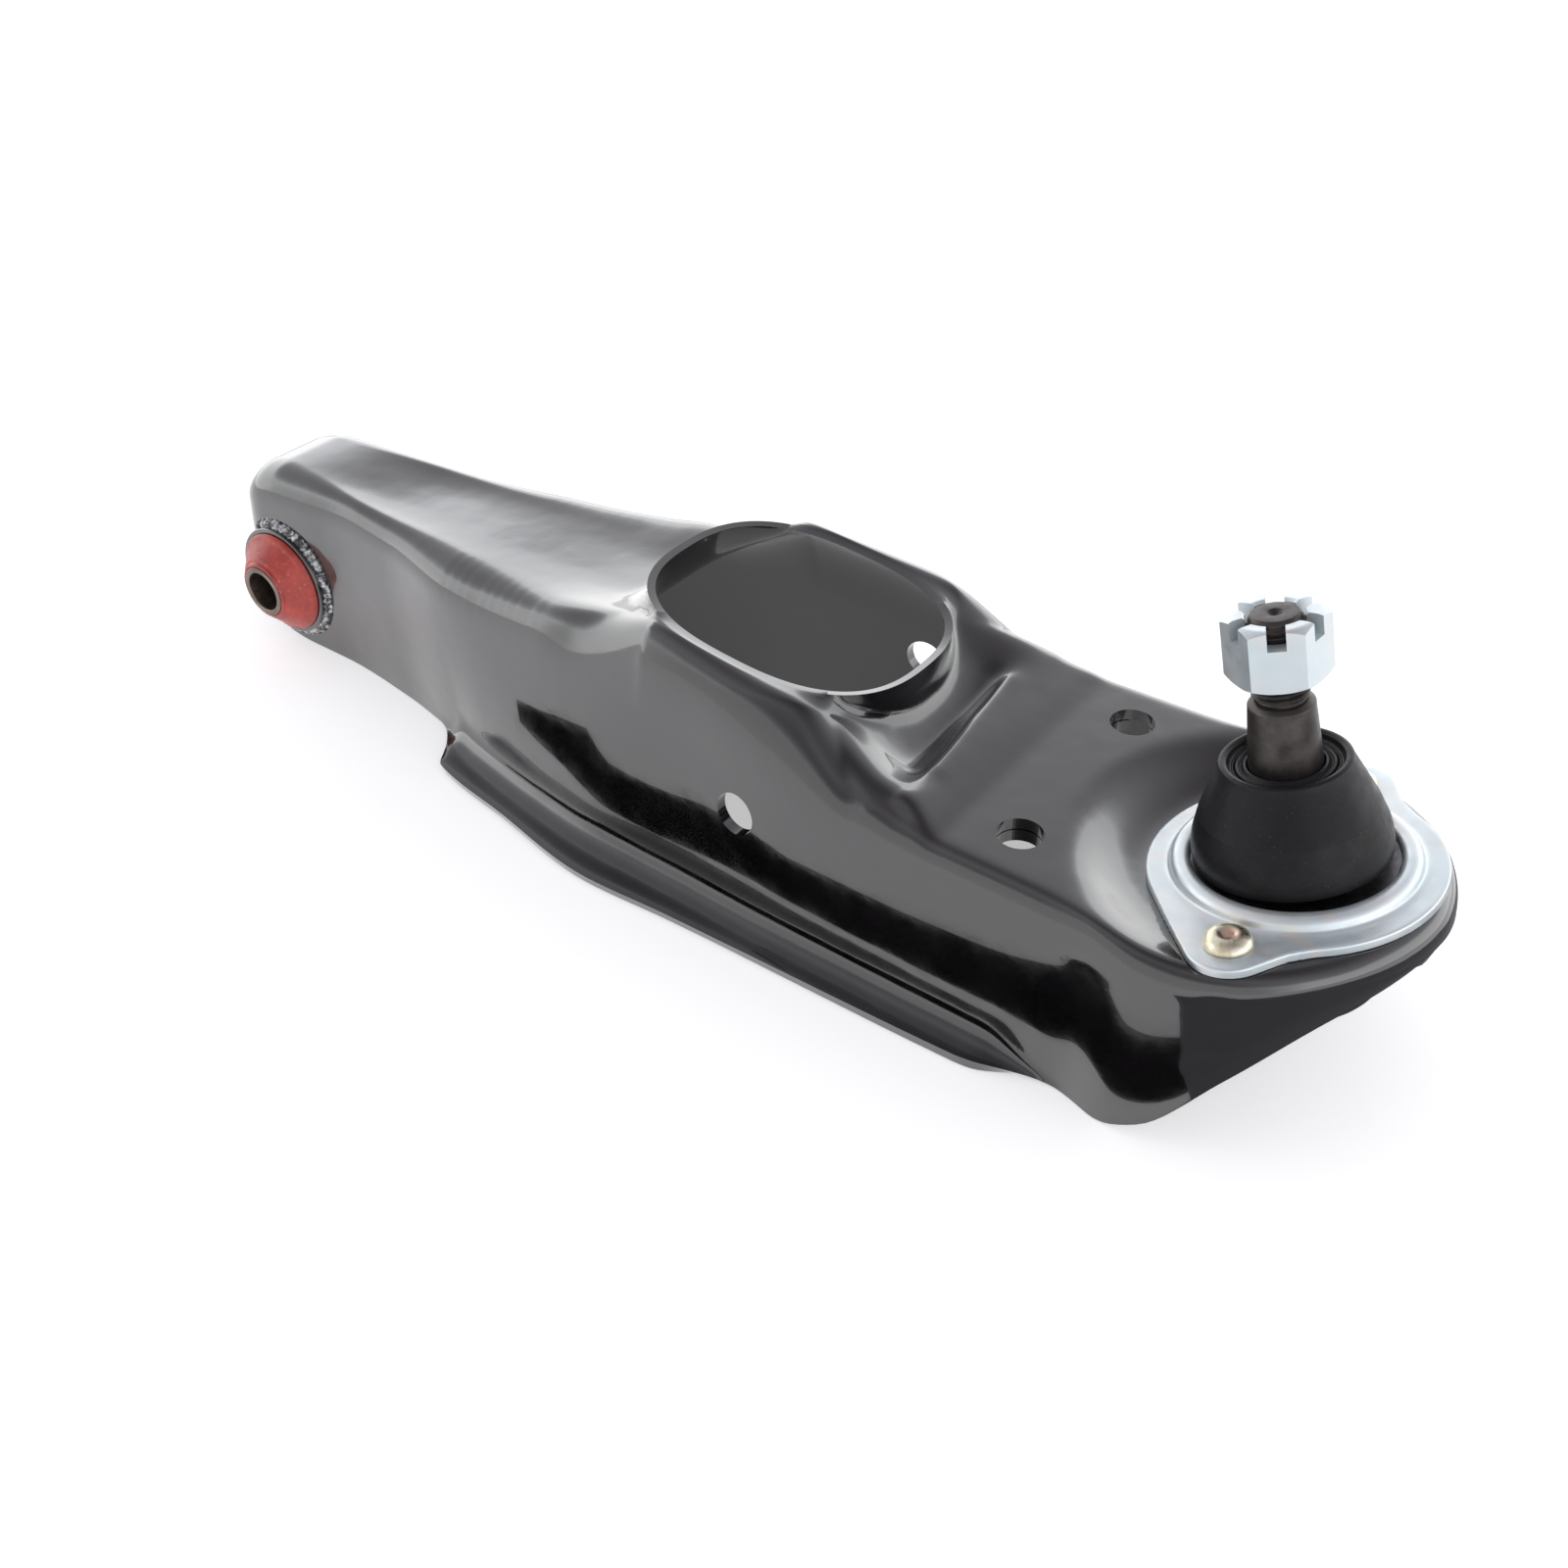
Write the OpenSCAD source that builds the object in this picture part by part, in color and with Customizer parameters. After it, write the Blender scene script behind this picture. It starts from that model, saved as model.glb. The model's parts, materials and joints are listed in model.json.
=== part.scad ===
// Lower control arm: a pressed steel channel with a bushed pivot eye at one end and a
// riveted ball joint at the other. Millimetres. The origin is the centre of the pivot
// bush, +X runs along the arm to the ball joint, +Y runs along the bush and +Z is up.

/* [Arm pressing] */
// Distance from the pivot bush to the middle of the ball joint
arm_length = 360; // [356:1:364]
// Thickness of the pressed sheet
sheet = 3.4; // [3:0.1:3.8]
// Height of the lower edge of the side walls, below the bush centre
arm_bottom = -25; // [-27:0.5:-24]
// Height of the inboard end above the bush centre
nose_top = 39; // [38:0.5:41]
// Radius of the rounded inboard end, seen from the side
nose_r = 18; // [16:0.5:19]
// Radius of the hollow corner between the wall and the bottom flange
flange_fillet = 8; // [6:0.5:9]

/* [Damper opening] */
// Distance from the pivot bush to the middle of the opening
opening_x = 206.5; // [205:0.5:208]
// Length of the opening, outside the collar
opening_length = 87; // [84:0.5:88]
// Width of the opening, outside the collar
opening_width = 71; // [68:0.5:72]
// Height of the collar's rim over the middle of the opening
rim_z = 53.3; // [52:0.1:55]
// Drop of the rim for each millimetre towards the ball joint
rim_fall = 0.105; // [0.08:0.005:0.12]
// Distance from the pivot bush to the damper bolt
damper_x = 221; // [219:0.5:223]
// Height of the damper bolt
damper_z = 15; // [13:0.5:17]
// Radius of the damper bolt holes
damper_hole_r = 6.5; // [6:0.1:7]

/* [Strut rod pad] */
// Distance from the pivot bush to the two strut rod bolts
strut_x = 299; // [298:0.5:300]
// Distance between the two strut rod bolts
strut_spacing = 61; // [58:0.5:62]
// Radius of the strut rod bolt holes
strut_hole_r = 6.25; // [5.5:0.05:6.5]
// Height of the pad
pad_z = 33; // [32:0.5:34]
// Thickness of the second sheet under the pad
doubler = 3.5; // [2.5:0.1:4]

/* [Pivot bush] */
// Outer radius of the eye tube
eye_r = 19.7; // [19.4:0.1:19.8]
// Length of the eye tube
eye_length = 51.4; // [50:0.2:54]
// Outer radius of the bush
bush_r = 17.9; // [17.5:0.1:18]
// Outer radius of the steel sleeve
sleeve_r = 9; // [8.6:0.1:9.4]
// Radius of the sleeve's bolt bore
sleeve_bore_r = 7; // [6.5:0.1:7.2]
// Length of the sleeve
sleeve_length = 69.4; // [68:0.2:72]

/* [Ball joint] */
// Height of the middle of the flange plate's top face
plate_z = 34; // [33.5:0.1:34.5]
// Lean of the flange plate towards the pivot, in degrees
plate_lean = 10.6; // [9:0.1:12]
// Thickness of the flange plate
plate_t = 2.6; // [2:0.1:3]
// Radius of the round part of the flange plate
plate_r = 36.75; // [36:0.25:37.5]
// Distance between the two rivets
rivet_spacing = 76; // [74:0.5:77]
// Radius of the rounded ears
ear_r = 10.5; // [10:0.25:11]
// Radius of the ball
ball_r = 14; // [13.5:0.1:14.2]
// Depth of the ball's centre under the plate's top face
ball_depth = 8; // [7.5:0.1:8.5]

/* [Stud and nut] */
// Lean of the stud towards the pivot, in degrees
stud_lean = 14; // [12:0.5:16]
// Distance from the ball's centre to the stud's end
stud_end = 76.4; // [75:0.2:78]
// Radius of the stud's thread
thread_r = 6.95; // [6.9:0.01:7]
// Width of the castle nut across its flats
nut_flats = 22; // [21:0.5:23]
// Height of the castle nut
nut_height = 16; // [15:0.5:17]
// Width of the nut's slots
slot_w = 4.3; // [3.5:0.1:4.5]
// Depth of the nut's slots
slot_depth = 5; // [4:0.5:6]

/* [Hidden] */

// Clearance between pieces that touch but aren't joined
gap = 0.1;
// Running clearance of a turning fit
running = 0.05;
// Overshoot of a cutting shape, and the margin round the flange plate
over = 1;

// Outboard end of the arm, seen from above
tip_start = arm_length - 15;
tip_length = 55;
tip_power = 1.8;
// Inboard end of the arm, seen from the side
nose_centre = -6;
nose_front = nose_centre - nose_r;
nose_corner = 9;
// Ridge and trough between the opening and the strut rod pad
ridge_x = opening_x + 58.5;
trough_x = opening_x + 52;
pad_start = ridge_x + 17;
// Radii about the ball joint where the strut rod pad ends and the ball joint pad starts
step_outer_r = 57;
step_inner_r = 37;

// Half width of the top panel at stations along the arm
panel_half = [[nose_front, 13], [0, 15], [40, 18], [80, 19.5], [100, 23], [130, 29.5],
    [165, 35.5], [205, 36.5], [240, 37.5], [ridge_x, 41], [pad_start, 44], [315, 45],
    [tip_start, 49], [tip_start + tip_length, 49]];
// Height of the middle of the top panel, short of the strut rod pad
panel_mid = [[nose_front, nose_top], [6, nose_top + 1], [48, 38], [90, 39.5], [130, 41],
    [163, 44], [185, 48.5], [222, 49.5], [238, 43], [250, 36.8], [trough_x, 32],
    [trough_x + 2, 32.4], [ridge_x, 36.7], [ridge_x + 5, 36.4], [pad_start, pad_z]];
// Height of the edge of the top panel, short of the strut rod pad
panel_edge = [[nose_front, nose_top], [6, nose_top + 1], [48, 39.5], [100, 41], [130, 43.5],
    [165, 53], [185, 54.5], [222, 52.5], [236, 50.8], [244, 47.5], [252, 43],
    [ridge_x, 38.6], [ridge_x + 5, 37.4], [pad_start, pad_z]];
// Half width where the rounded shoulder meets the side wall
fold_half = [[nose_front, 22], [22, 22], [55, 25], [90, 33], [111, 36], [141, 40],
    [168, 43.5], [199, 46], [240, 50], [300, 50.5], [325, 51.5], [tip_start, 54.5],
    [tip_start + tip_length, 54.5]];
// Height where the rounded shoulder meets the side wall
fold_z = [[nose_front, 24], [0, 28], [55, 29], [111, 30], [165, 32], [205, 32],
    [240, 27], [280, 22], [tip_start, 21], [380, 28], [400, 34]];
// Half width of the side wall near its lower edge
wall_half = [[nose_front, 22], [22, 22], [60, 26], [90, 33], [111, 39], [141, 45],
    [168, 48.5], [199, 49.5], [240, 51], [300, 51.5], [325, 51.5], [tip_start, 55.5],
    [tip_start + tip_length, 55.5]];
// Half width of the lower edge, out to the flange's lip
edge_half = [[nose_front, 22], [22, 22.5], [60, 27], [78, 31], [92, 41], [99, 49.5],
    [131, 56], [175, 63.5], [205, 62], [300, 60], [315, 57.5], [330, 54],
    [tip_start, 56.5], [tip_start + tip_length, 56.5]];
// Height of the lower edge
edge_z = [[nose_front, -6], [-16, -17], [-4, -24], [6, arm_bottom],
    [338, arm_bottom], [352, -19], [369, 3], [385, 20], [400, 30.5]];
// Share of the full flange: 0 is a plain wall, 1 is the whole flange
flange_share = [[nose_front, 0], [70, 0], [99, 1], [305, 1], [332, 0], [400, 0]];

// Stations of the shell's cross sections between its two rounded ends
stations = [4, 14, 26, 40, 55, 70, 80, 87, 93, 99, 107, 118, 130, 144, 158, 172, 186,
    202, 218, 232, 243, 250, 255, 260, 265, 272, 284, 294, 303, 311, 319, 327, 336];
// Steps in the panel half, the shoulder and each rounded end
panel_steps = 5;
shoulder_steps = 4;
end_steps = 6;
// Depth that the hollow is cut to, and that clears every lower edge
hollow_z = -60;

// Reading of a list of [position, value] pairs along a smooth curve through them
function span_of(s, x, i = 0) = (i >= len(s) - 2 || x < s[i + 1][0]) ? i : span_of(s, x, i + 1);
function rise(s, i) = (s[i + 1][1] - s[i][1]) / (s[i + 1][0] - s[i][0]);
function slope_at(s, i) =
    i == 0 ? rise(s, 0) :
    i == len(s) - 1 ? rise(s, i - 1) :
    rise(s, i - 1) * rise(s, i) <= 0 ? 0 :
    2 / (1 / rise(s, i - 1) + 1 / rise(s, i));
function curve(s, x) =
    let(i = span_of(s, x), h = s[i + 1][0] - s[i][0])
    let(t = min(1, max(0, (x - s[i][0]) / h)))
    s[i][1] * (1 + 2 * t) * (1 - t) * (1 - t) + s[i + 1][1] * t * t * (3 - 2 * t)
    + h * t * (1 - t) * (slope_at(s, i) * (1 - t) - slope_at(s, i + 1) * t);
function ease(t) = let(c = min(1, max(0, t))) c * c * (3 - 2 * c);
function mix(a, b, t) = a + (b - a) * t;

// Plane just under the flange plate, along the middle of the arm
function seat_z(x) =
    plate_z - (plate_t + gap) / cos(plate_lean) + (x - arm_length) * tan(plate_lean);

// Width factor of the rounded outboard end, inset by a wall thickness
function tip_factor(x, inset) =
    x <= tip_start ? 1 :
    pow(max(0, 1 - pow((x - tip_start) / (tip_length - inset), tip_power)), 1 / tip_power);
// Width lost to the rounded corners of the inboard end
function nose_trim(x, inset) =
    let(d = min(nose_corner - inset, max(0, nose_front + nose_corner - x)))
    nose_corner - inset - sqrt(max(0, pow(nose_corner - inset, 2) - d * d));
function width(s, x, inset) = (curve(s, x) - inset) * tip_factor(x, inset) - nose_trim(x, inset);

// Height of the top panel at a place on it
function outboard_z(x, y) =
    mix(pad_z, seat_z(x), ease((step_outer_r - norm([x - arm_length, y]))
        / (step_outer_r - step_inner_r)));
function inboard_z(x, y) =
    mix(curve(panel_mid, x), curve(panel_edge, x), pow(min(1, y / curve(panel_half, x)), 3));
function panel_z(x, y) = x < pad_start ? inboard_z(x, y) : outboard_z(x, y);
// The inboard end falls away on a round nose
function nose_z(x, inset) =
    nose_top - nose_r + sqrt(max(0, pow(nose_r - inset, 2) - pow(nose_centre - x, 2)));
function top_z(x, y, inset) = x < nose_centre ? nose_z(x, inset) : panel_z(x, y) - inset;

// One side of a cross section, from the middle of the top down to the lower edge
function half_section(x, inset, hollow) =
    let(top_half = width(panel_half, x, inset * 0.4), fold = width(fold_half, x, inset))
    let(panel = min(top_half, fold * 0.82), crown = top_z(x, panel, inset))
    let(low = curve(edge_z, x), wall = width(wall_half, x, inset))
    let(edge = width(edge_half, x, inset), f = curve(flange_share, x))
    let(bend = min(curve(fold_z, x), crown - 3))
    let(r = min(flange_fillet, edge - wall))
    concat(
        [for (k = [0:panel_steps])
            [panel * k / panel_steps, top_z(x, panel * k / panel_steps, inset)]],
        [for (k = [1:shoulder_steps]) let(a = 90 * k / shoulder_steps)
            [mix(panel, fold, sin(a)), mix(bend, crown, cos(a))]],
        hollow ? [[wall, hollow_z]] : [
            [wall, low + mix(2, sheet + r, f)],
            [wall + f * r * 0.3, low + mix(1.5, sheet + r * 0.3, f)],
            [wall + f * r, low + mix(1, sheet, f)],
            [mix(wall + 0.1, edge, f), low + mix(0.5, sheet - 0.1, f)],
            [mix(wall + 0.1, edge, f), low]
        ]
    );
function section(x, inset, hollow) =
    let(half = half_section(x, inset, hollow), n = len(half))
    concat(
        [for (k = [n - 1:-1:0]) [x, -half[k][0], half[k][1]]],
        [for (k = [1:n - 1]) [x, half[k][0], half[k][1]]]
    );
function section_places(inset) = concat(
    [for (k = [0:end_steps]) nose_centre - (nose_r - inset) * cos(90 * k / end_steps)],
    stations,
    [for (k = [0:end_steps]) tip_start + (tip_length - inset) * sin(86 * k / end_steps)]
);

// Solid through a row of closed cross sections
module loft(rows) {
    n = len(rows[0]);
    last = len(rows) - 1;
    polyhedron(
        points = [for (row = rows) each row],
        faces = concat(
            [[for (j = [n - 1:-1:0]) j]],
            [for (i = [0:last - 1]) for (j = [0:n - 1])
                [i * n + j, (i + 1) * n + (j + 1) % n, (i + 1) * n + j]],
            [for (i = [0:last - 1]) for (j = [0:n - 1])
                [i * n + j, i * n + (j + 1) % n, (i + 1) * n + (j + 1) % n]],
            [[for (j = [0:n - 1]) last * n + j]]
        )
    );
}
module arm_block() {
    loft([for (x = section_places(0)) section(x, 0, false)]);
}
module arm_hollow() {
    loft([for (x = section_places(sheet)) section(x, sheet, true)]);
}

// Rounded outline of the damper opening
opening_power = 2.55;
opening_sides = 48;
function signed_power(v, p) = sign(v) * pow(abs(v), p);
module opening_outline(inset) {
    polygon([for (k = [0:opening_sides - 1]) let(a = 360 * k / opening_sides) [
        (opening_length / 2 - inset) * signed_power(cos(a), 2 / opening_power),
        (opening_width / 2 - inset) * signed_power(sin(a), 2 / opening_power)
    ]]);
}
module opening_prism(inset, low, high) {
    translate([opening_x, 0, low])
        linear_extrude(high - low)
            opening_outline(inset);
}
// Everything above a plane that falls towards the ball joint
module above_plane(z, fall) {
    translate([opening_x, 0, z])
        rotate([0, atan(fall), 0])
            translate([-100, -100, 0])
                cube([200, 200, 80]);
}
collar_foot_z = 31;
collar_foot_fall = 0.19;
module collar() {
    difference() {
        opening_prism(0, 10, 70);
        opening_prism(sheet, 9, 71);
        above_plane(rim_z, rim_fall);
        translate([opening_x, 0, collar_foot_z])
            rotate([0, atan(collar_foot_fall), 0])
                translate([-100, -100, -80])
                    cube([200, 200, 80]);
    }
}

// Places a child at the middle of the flange plate, along the plate's own normal
module on_plate() {
    translate([arm_length, 0, plate_z])
        rotate([0, -plate_lean, 0])
            children();
}
// Places a child at the ball's centre, along the stud
module on_stud() {
    translate([arm_length + ball_depth * sin(plate_lean), 0,
        plate_z - ball_depth * cos(plate_lean)])
        rotate([0, -stud_lean, 0])
            children();
}
module both_sides(y) {
    for (side = [-1, 1])
        translate([0, side * y, 0])
            children();
}
module along_y(length, r, sides = 64) {
    rotate([90, 0, 0])
        cylinder(h = length, r = r, center = true, $fn = sides);
}

rivet_r = 4;
seat_relief = 0.02;
socket_hole_r = 23.5;
module plate_ears(grow) {
    hull() {
        translate([0, rivet_spacing / 2])
            circle(r = ear_r + grow, $fn = 48);
        translate([0, -rivet_spacing / 2])
            circle(r = ear_r + grow, $fn = 48);
        circle(r = 31 + grow, $fn = 72);
    }
}

module arm_shell() {
    color("#111114")
        difference() {
            union() {
                difference() {
                    arm_block();
                    arm_hollow();
                    opening_prism(sheet, 0, 70);
                    above_plane(rim_z, rim_fall);
                }
                collar();
            }
            translate([damper_x, 0, damper_z])
                along_y(160, damper_hole_r);
            along_y(120, eye_r + gap);
            translate([strut_x, 0, 0])
                both_sides(strut_spacing / 2)
                    cylinder(h = 60, r = strut_hole_r, $fn = 64);
            on_plate() {
                translate([0, 0, -20])
                    cylinder(h = 30, r = socket_hole_r, $fn = 96);
                both_sides(rivet_spacing / 2)
                    translate([0, 0, -20])
                        cylinder(h = 30, r = rivet_r + gap, $fn = 48);
                translate([0, 0, -plate_t - seat_relief])
                    linear_extrude(20)
                        plate_ears(over);
                translate([0, 0, -plate_t - seat_relief])
                    cylinder(h = 20, r = plate_r + over, $fn = 96);
            }
        }
}

// Second sheet under the strut rod pad, cut back round the ball joint pad
doubler_half = 36;
module strut_reinforcement() {
    color("#1a1a1c")
        difference() {
            translate([pad_start + 2, -doubler_half, pad_z - sheet - doubler - 4 * gap])
                cube([24, 2 * doubler_half, doubler]);
            translate([arm_length, 0, 0])
                cylinder(h = 60, r = step_outer_r + 3, $fn = 128);
            translate([strut_x, 0, 0])
                both_sides(strut_spacing / 2)
                    cylinder(h = 60, r = strut_hole_r, $fn = 64);
        }
}

module pivot_eye_tube() {
    color("#17171a")
        difference() {
            along_y(eye_length, eye_r, 96);
            along_y(eye_length + 2 * over, bush_r + running, 96);
        }
}

// Weld bead most of the way round the tube, on the outside of one wall
weld_r = 3;
weld_angle = 280;
module eye_weld() {
    color("#55585a")
        rotate([90, 0, 0])
            rotate([0, 0, -weld_angle / 2])
                rotate_extrude(angle = weld_angle, $fn = 96)
                    translate([eye_r + 0.03, fold_half[0][1] + 3 * gap])
                        polygon([[0, 0], [weld_r, 0], [weld_r * 0.7, 2], [0, 2.9]]);
}
module eye_weld_near() {
    eye_weld();
}
module eye_weld_far() {
    mirror([0, 1, 0])
        eye_weld();
}

// Half of the bush, with its cone standing out of the tube
bush_lip_r = 9.8;
module bush_half() {
    end = eye_length / 2;
    tip = sleeve_length / 2 - 0.4;
    bore = sleeve_r + running;
    color("#c8463c")
        rotate([90, 0, 0])
            rotate_extrude($fn = 96)
                polygon([[bore, gap], [bush_r, gap], [bush_r, end], [bush_r - 0.6, end + 1],
                    [bush_lip_r + 1.1, tip - 1.2], [bush_lip_r, tip - 0.9],
                    [bush_lip_r - 0.2, tip], [bore, tip]]);
}
module bush_half_near() {
    bush_half();
}
module bush_half_far() {
    mirror([0, 1, 0])
        bush_half();
}

module bush_sleeve() {
    color("#7a706a")
        difference() {
            along_y(sleeve_length, sleeve_r);
            along_y(sleeve_length + 2 * over, sleeve_bore_r);
        }
}

// Flange plate with a raised ring that holds the socket's lip
lip_r = 29.1;
lip_top = 0.75;
ring_bore_r = 25.5;
module ball_joint_flange() {
    color("#c9d2d6")
        on_plate() {
            difference() {
                translate([0, 0, -plate_t])
                    linear_extrude(plate_t)
                        union() {
                            circle(r = plate_r, $fn = 96);
                            plate_ears(0);
                        }
                translate([0, 0, -plate_t - over])
                    cylinder(h = plate_t + 2 * over, r = lip_r + 1.4, $fn = 96);
                both_sides(rivet_spacing / 2)
                    translate([0, 0, -plate_t - over])
                        cylinder(h = plate_t + 2 * over, r = rivet_r + gap, $fn = 48);
            }
            rotate_extrude($fn = 96)
                polygon([[lip_r + 0.15, -plate_t], [lip_r + 1.4, -plate_t],
                    [lip_r + 1.4, 0.6], [lip_r + 0.9, 2.2], [lip_r - 0.4, 3.2],
                    [27.6, 3.5], [26.2, 3.1], [ring_bore_r, 2.2], [ring_bore_r, lip_top + gap],
                    [lip_r + 0.15, lip_top + gap]]);
        }
}

module flange_rivets() {
    tail = -plate_t - sheet - 0.6;
    color("#b9a77c")
        on_plate()
            both_sides(rivet_spacing / 2)
                rotate_extrude($fn = 48)
                    polygon([[0, tail - 2.8], [4.4, tail - 2.8], [5.3, tail - 2],
                        [5.3, tail - 1.1], [rivet_r, tail], [rivet_r, gap / 2],
                        [6.2, gap / 2], [6, 1.2], [5, 2.5], [3, 3.3], [0, 3.5]]);
}

// Socket: a pressed cup whose lip lies between the flange plate and the arm
socket_bore_r = 17.6;
socket_r = 21.6;
cap_seat_z = -31.4;
module ball_socket_housing() {
    color("#2b2c2f")
        on_plate()
            rotate_extrude($fn = 96)
                polygon([[13.4, lip_top], [lip_r, lip_top], [lip_r, -plate_t],
                    [socket_r + 1, -plate_t], [socket_r, -plate_t - 1], [socket_r, -34],
                    [socket_r - 1, -35.2], [17.2, -35.2], [17.2, -34], [19, -34],
                    [19, cap_seat_z], [socket_bore_r, cap_seat_z], [socket_bore_r, -0.9],
                    [12.8, -0.9]]);
}

// Ring of plastic over the ball, between the ball and the socket
module upper_ball_seat() {
    color("#d8d4c4")
        on_plate()
            difference() {
                translate([0, 0, -ball_depth])
                    cylinder(h = ball_depth - 1, r = socket_bore_r - running, $fn = 96);
                translate([0, 0, -ball_depth])
                    sphere(r = ball_r + running, $fn = 96);
                translate([0, 0, -2])
                    cylinder(h = 4, r = 12.7, $fn = 96);
            }
}

// Bowl under the ball, free to follow it a little
seat_t = 2.4;
module floating_ball_seat() {
    color("#d8d4c4")
        on_plate()
            translate([0, 0, -ball_depth])
                difference() {
                    sphere(r = ball_r + seat_t, $fn = 96);
                    sphere(r = ball_r + running, $fn = 96);
                    translate([0, 0, -6])
                        cylinder(h = 40, r = 30, $fn = 64);
                    translate([0, 0, -30])
                        cylinder(h = 20, r = 3, $fn = 32);
                }
}

module pressure_plate() {
    color("#6f7377")
        on_plate()
            difference() {
                translate([0, 0, -27.4])
                    cylinder(h = 5.4, r = 17, $fn = 96);
                translate([0, 0, -ball_depth])
                    sphere(r = ball_r + seat_t + running, $fn = 96);
            }
}

// Disc spring that presses the seat against the ball
module preload_spring() {
    color("#44474b")
        on_plate()
            rotate_extrude($fn = 96)
                polygon([[6, -28.9], [16, -31.1], [16, -30.1], [6, -27.6]]);
}

module socket_end_cap() {
    color("#c9d2d6")
        on_plate()
            translate([0, 0, -33.9])
                cylinder(h = 2.4, r = 18.9, $fn = 96);
}

module boot_base_ring() {
    color("#8b9094")
        on_plate()
            rotate_extrude($fn = 96)
                translate([22.6, lip_top + gap])
                    square([2.6, 0.7]);
}

// Rubber boot: a thin shell from the flange's bore up to the stud
module dust_boot() {
    color("#1b1b1d")
        on_stud()
            rotate_extrude($fn = 96)
                polygon([[22.6, 11.3], [24.2, 11.3], [24.4, 14.5], [23.9, 18.5], [22.6, 22.5],
                    [19.9, 28.5], [17, 34.6], [15.8, 37.2], [15.2, 38], [13.2, 38],
                    [12.4, 36.8], [12.4, 30.5], [14.8, 30.5], [17.9, 27.6], [20.8, 21.8],
                    [22.3, 17.5], [22.5, 14.5]]);
}
module boot_neck_ring() {
    color("#6f7377")
        on_stud()
            rotate_extrude($fn = 64)
                translate([9.6, 30.8])
                    square([2.4, 2.6]);
}
module boot_lip() {
    color("#1b1b1d")
        on_stud()
            rotate_extrude($fn = 64)
                polygon([[9.2, 33.6], [12.2, 33.6], [12.2, 36.4], [11.4, 36.4], [11, 35.9],
                    [10.4, 35.9], [9.2, 36.6]]);
}

// Ball, neck, taper and thread
module ball_stud() {
    color("#3a3634")
        on_stud()
            difference() {
                union() {
                    sphere(r = ball_r, $fn = 96);
                    rotate_extrude($fn = 96)
                        polygon([[0, 0], [7, 0], [7, 18], [9, 28], [9, 36.5], [8, 52.5],
                            [7.2, 54], [thread_r, 54.2], [thread_r, stud_end - 1],
                            [thread_r - 0.9, stud_end], [0, stud_end]]);
                }
                translate([0, 0, -ball_r - over])
                    cylinder(h = over + 0.8, r = 10, $fn = 64);
            }
}

// Castle nut with six slots in the middle of its flats
nut_phase = 24.6;
crown_r = 11.3;
module castle_nut() {
    base = stud_end - nut_height;
    corner_r = nut_flats / 2 / cos(30);
    color("#cdd6da")
        on_stud()
            rotate([0, 0, nut_phase])
                translate([0, 0, base])
                    difference() {
                        intersection() {
                            cylinder(h = nut_height, r = corner_r, $fn = 6);
                            rotate_extrude($fn = 96)
                                polygon([[0, 0], [crown_r, 0], [corner_r + 0.1, 1],
                                    [corner_r + 0.1, nut_height - 1.2],
                                    [crown_r - 0.9, nut_height], [0, nut_height]]);
                        }
                        translate([0, 0, -over])
                            cylinder(h = nut_height + 2 * over, r = thread_r + 0.09, $fn = 64);
                        for (turn = [30:60:330])
                            rotate([0, 0, turn])
                                translate([3, -slot_w / 2, nut_height - slot_depth])
                                    cube([20, slot_w, slot_depth + over]);
                    }
}

arm_shell();
strut_reinforcement();
pivot_eye_tube();
eye_weld_near();
eye_weld_far();
bush_half_near();
bush_half_far();
bush_sleeve();
ball_joint_flange();
flange_rivets();
ball_socket_housing();
upper_ball_seat();
floating_ball_seat();
pressure_plate();
preload_spring();
socket_end_cap();
boot_base_ring();
dust_boot();
boot_neck_ring();
boot_lip();
ball_stud();
castle_nut();
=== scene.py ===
import json
import math

import bmesh
import bpy
import numpy as np
from mathutils import Matrix, Vector


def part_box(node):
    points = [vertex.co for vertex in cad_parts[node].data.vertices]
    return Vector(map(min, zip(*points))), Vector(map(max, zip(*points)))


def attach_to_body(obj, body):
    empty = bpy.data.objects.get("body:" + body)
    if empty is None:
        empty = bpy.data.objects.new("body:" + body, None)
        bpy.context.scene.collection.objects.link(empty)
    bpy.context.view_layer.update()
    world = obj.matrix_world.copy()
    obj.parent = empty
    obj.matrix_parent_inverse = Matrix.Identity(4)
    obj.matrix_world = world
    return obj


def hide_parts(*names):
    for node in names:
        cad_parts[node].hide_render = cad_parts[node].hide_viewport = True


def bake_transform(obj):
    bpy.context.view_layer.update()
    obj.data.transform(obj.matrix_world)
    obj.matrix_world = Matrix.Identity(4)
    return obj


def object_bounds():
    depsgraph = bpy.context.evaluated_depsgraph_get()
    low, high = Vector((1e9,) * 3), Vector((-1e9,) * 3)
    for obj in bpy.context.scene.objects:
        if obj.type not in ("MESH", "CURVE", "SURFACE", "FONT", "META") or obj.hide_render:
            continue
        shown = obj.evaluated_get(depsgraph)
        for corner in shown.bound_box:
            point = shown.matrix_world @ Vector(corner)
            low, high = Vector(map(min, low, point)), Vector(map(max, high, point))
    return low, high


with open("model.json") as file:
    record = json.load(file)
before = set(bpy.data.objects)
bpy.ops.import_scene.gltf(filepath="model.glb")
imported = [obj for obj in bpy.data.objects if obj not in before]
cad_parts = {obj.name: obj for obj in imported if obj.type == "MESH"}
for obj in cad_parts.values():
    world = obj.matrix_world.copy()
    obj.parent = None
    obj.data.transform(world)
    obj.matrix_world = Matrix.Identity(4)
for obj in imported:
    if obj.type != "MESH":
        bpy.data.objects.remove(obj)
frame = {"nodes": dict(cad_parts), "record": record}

CAD_LOW, CAD_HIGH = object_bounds()
MM = 0.001
RNG = np.random.default_rng(7)

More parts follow.
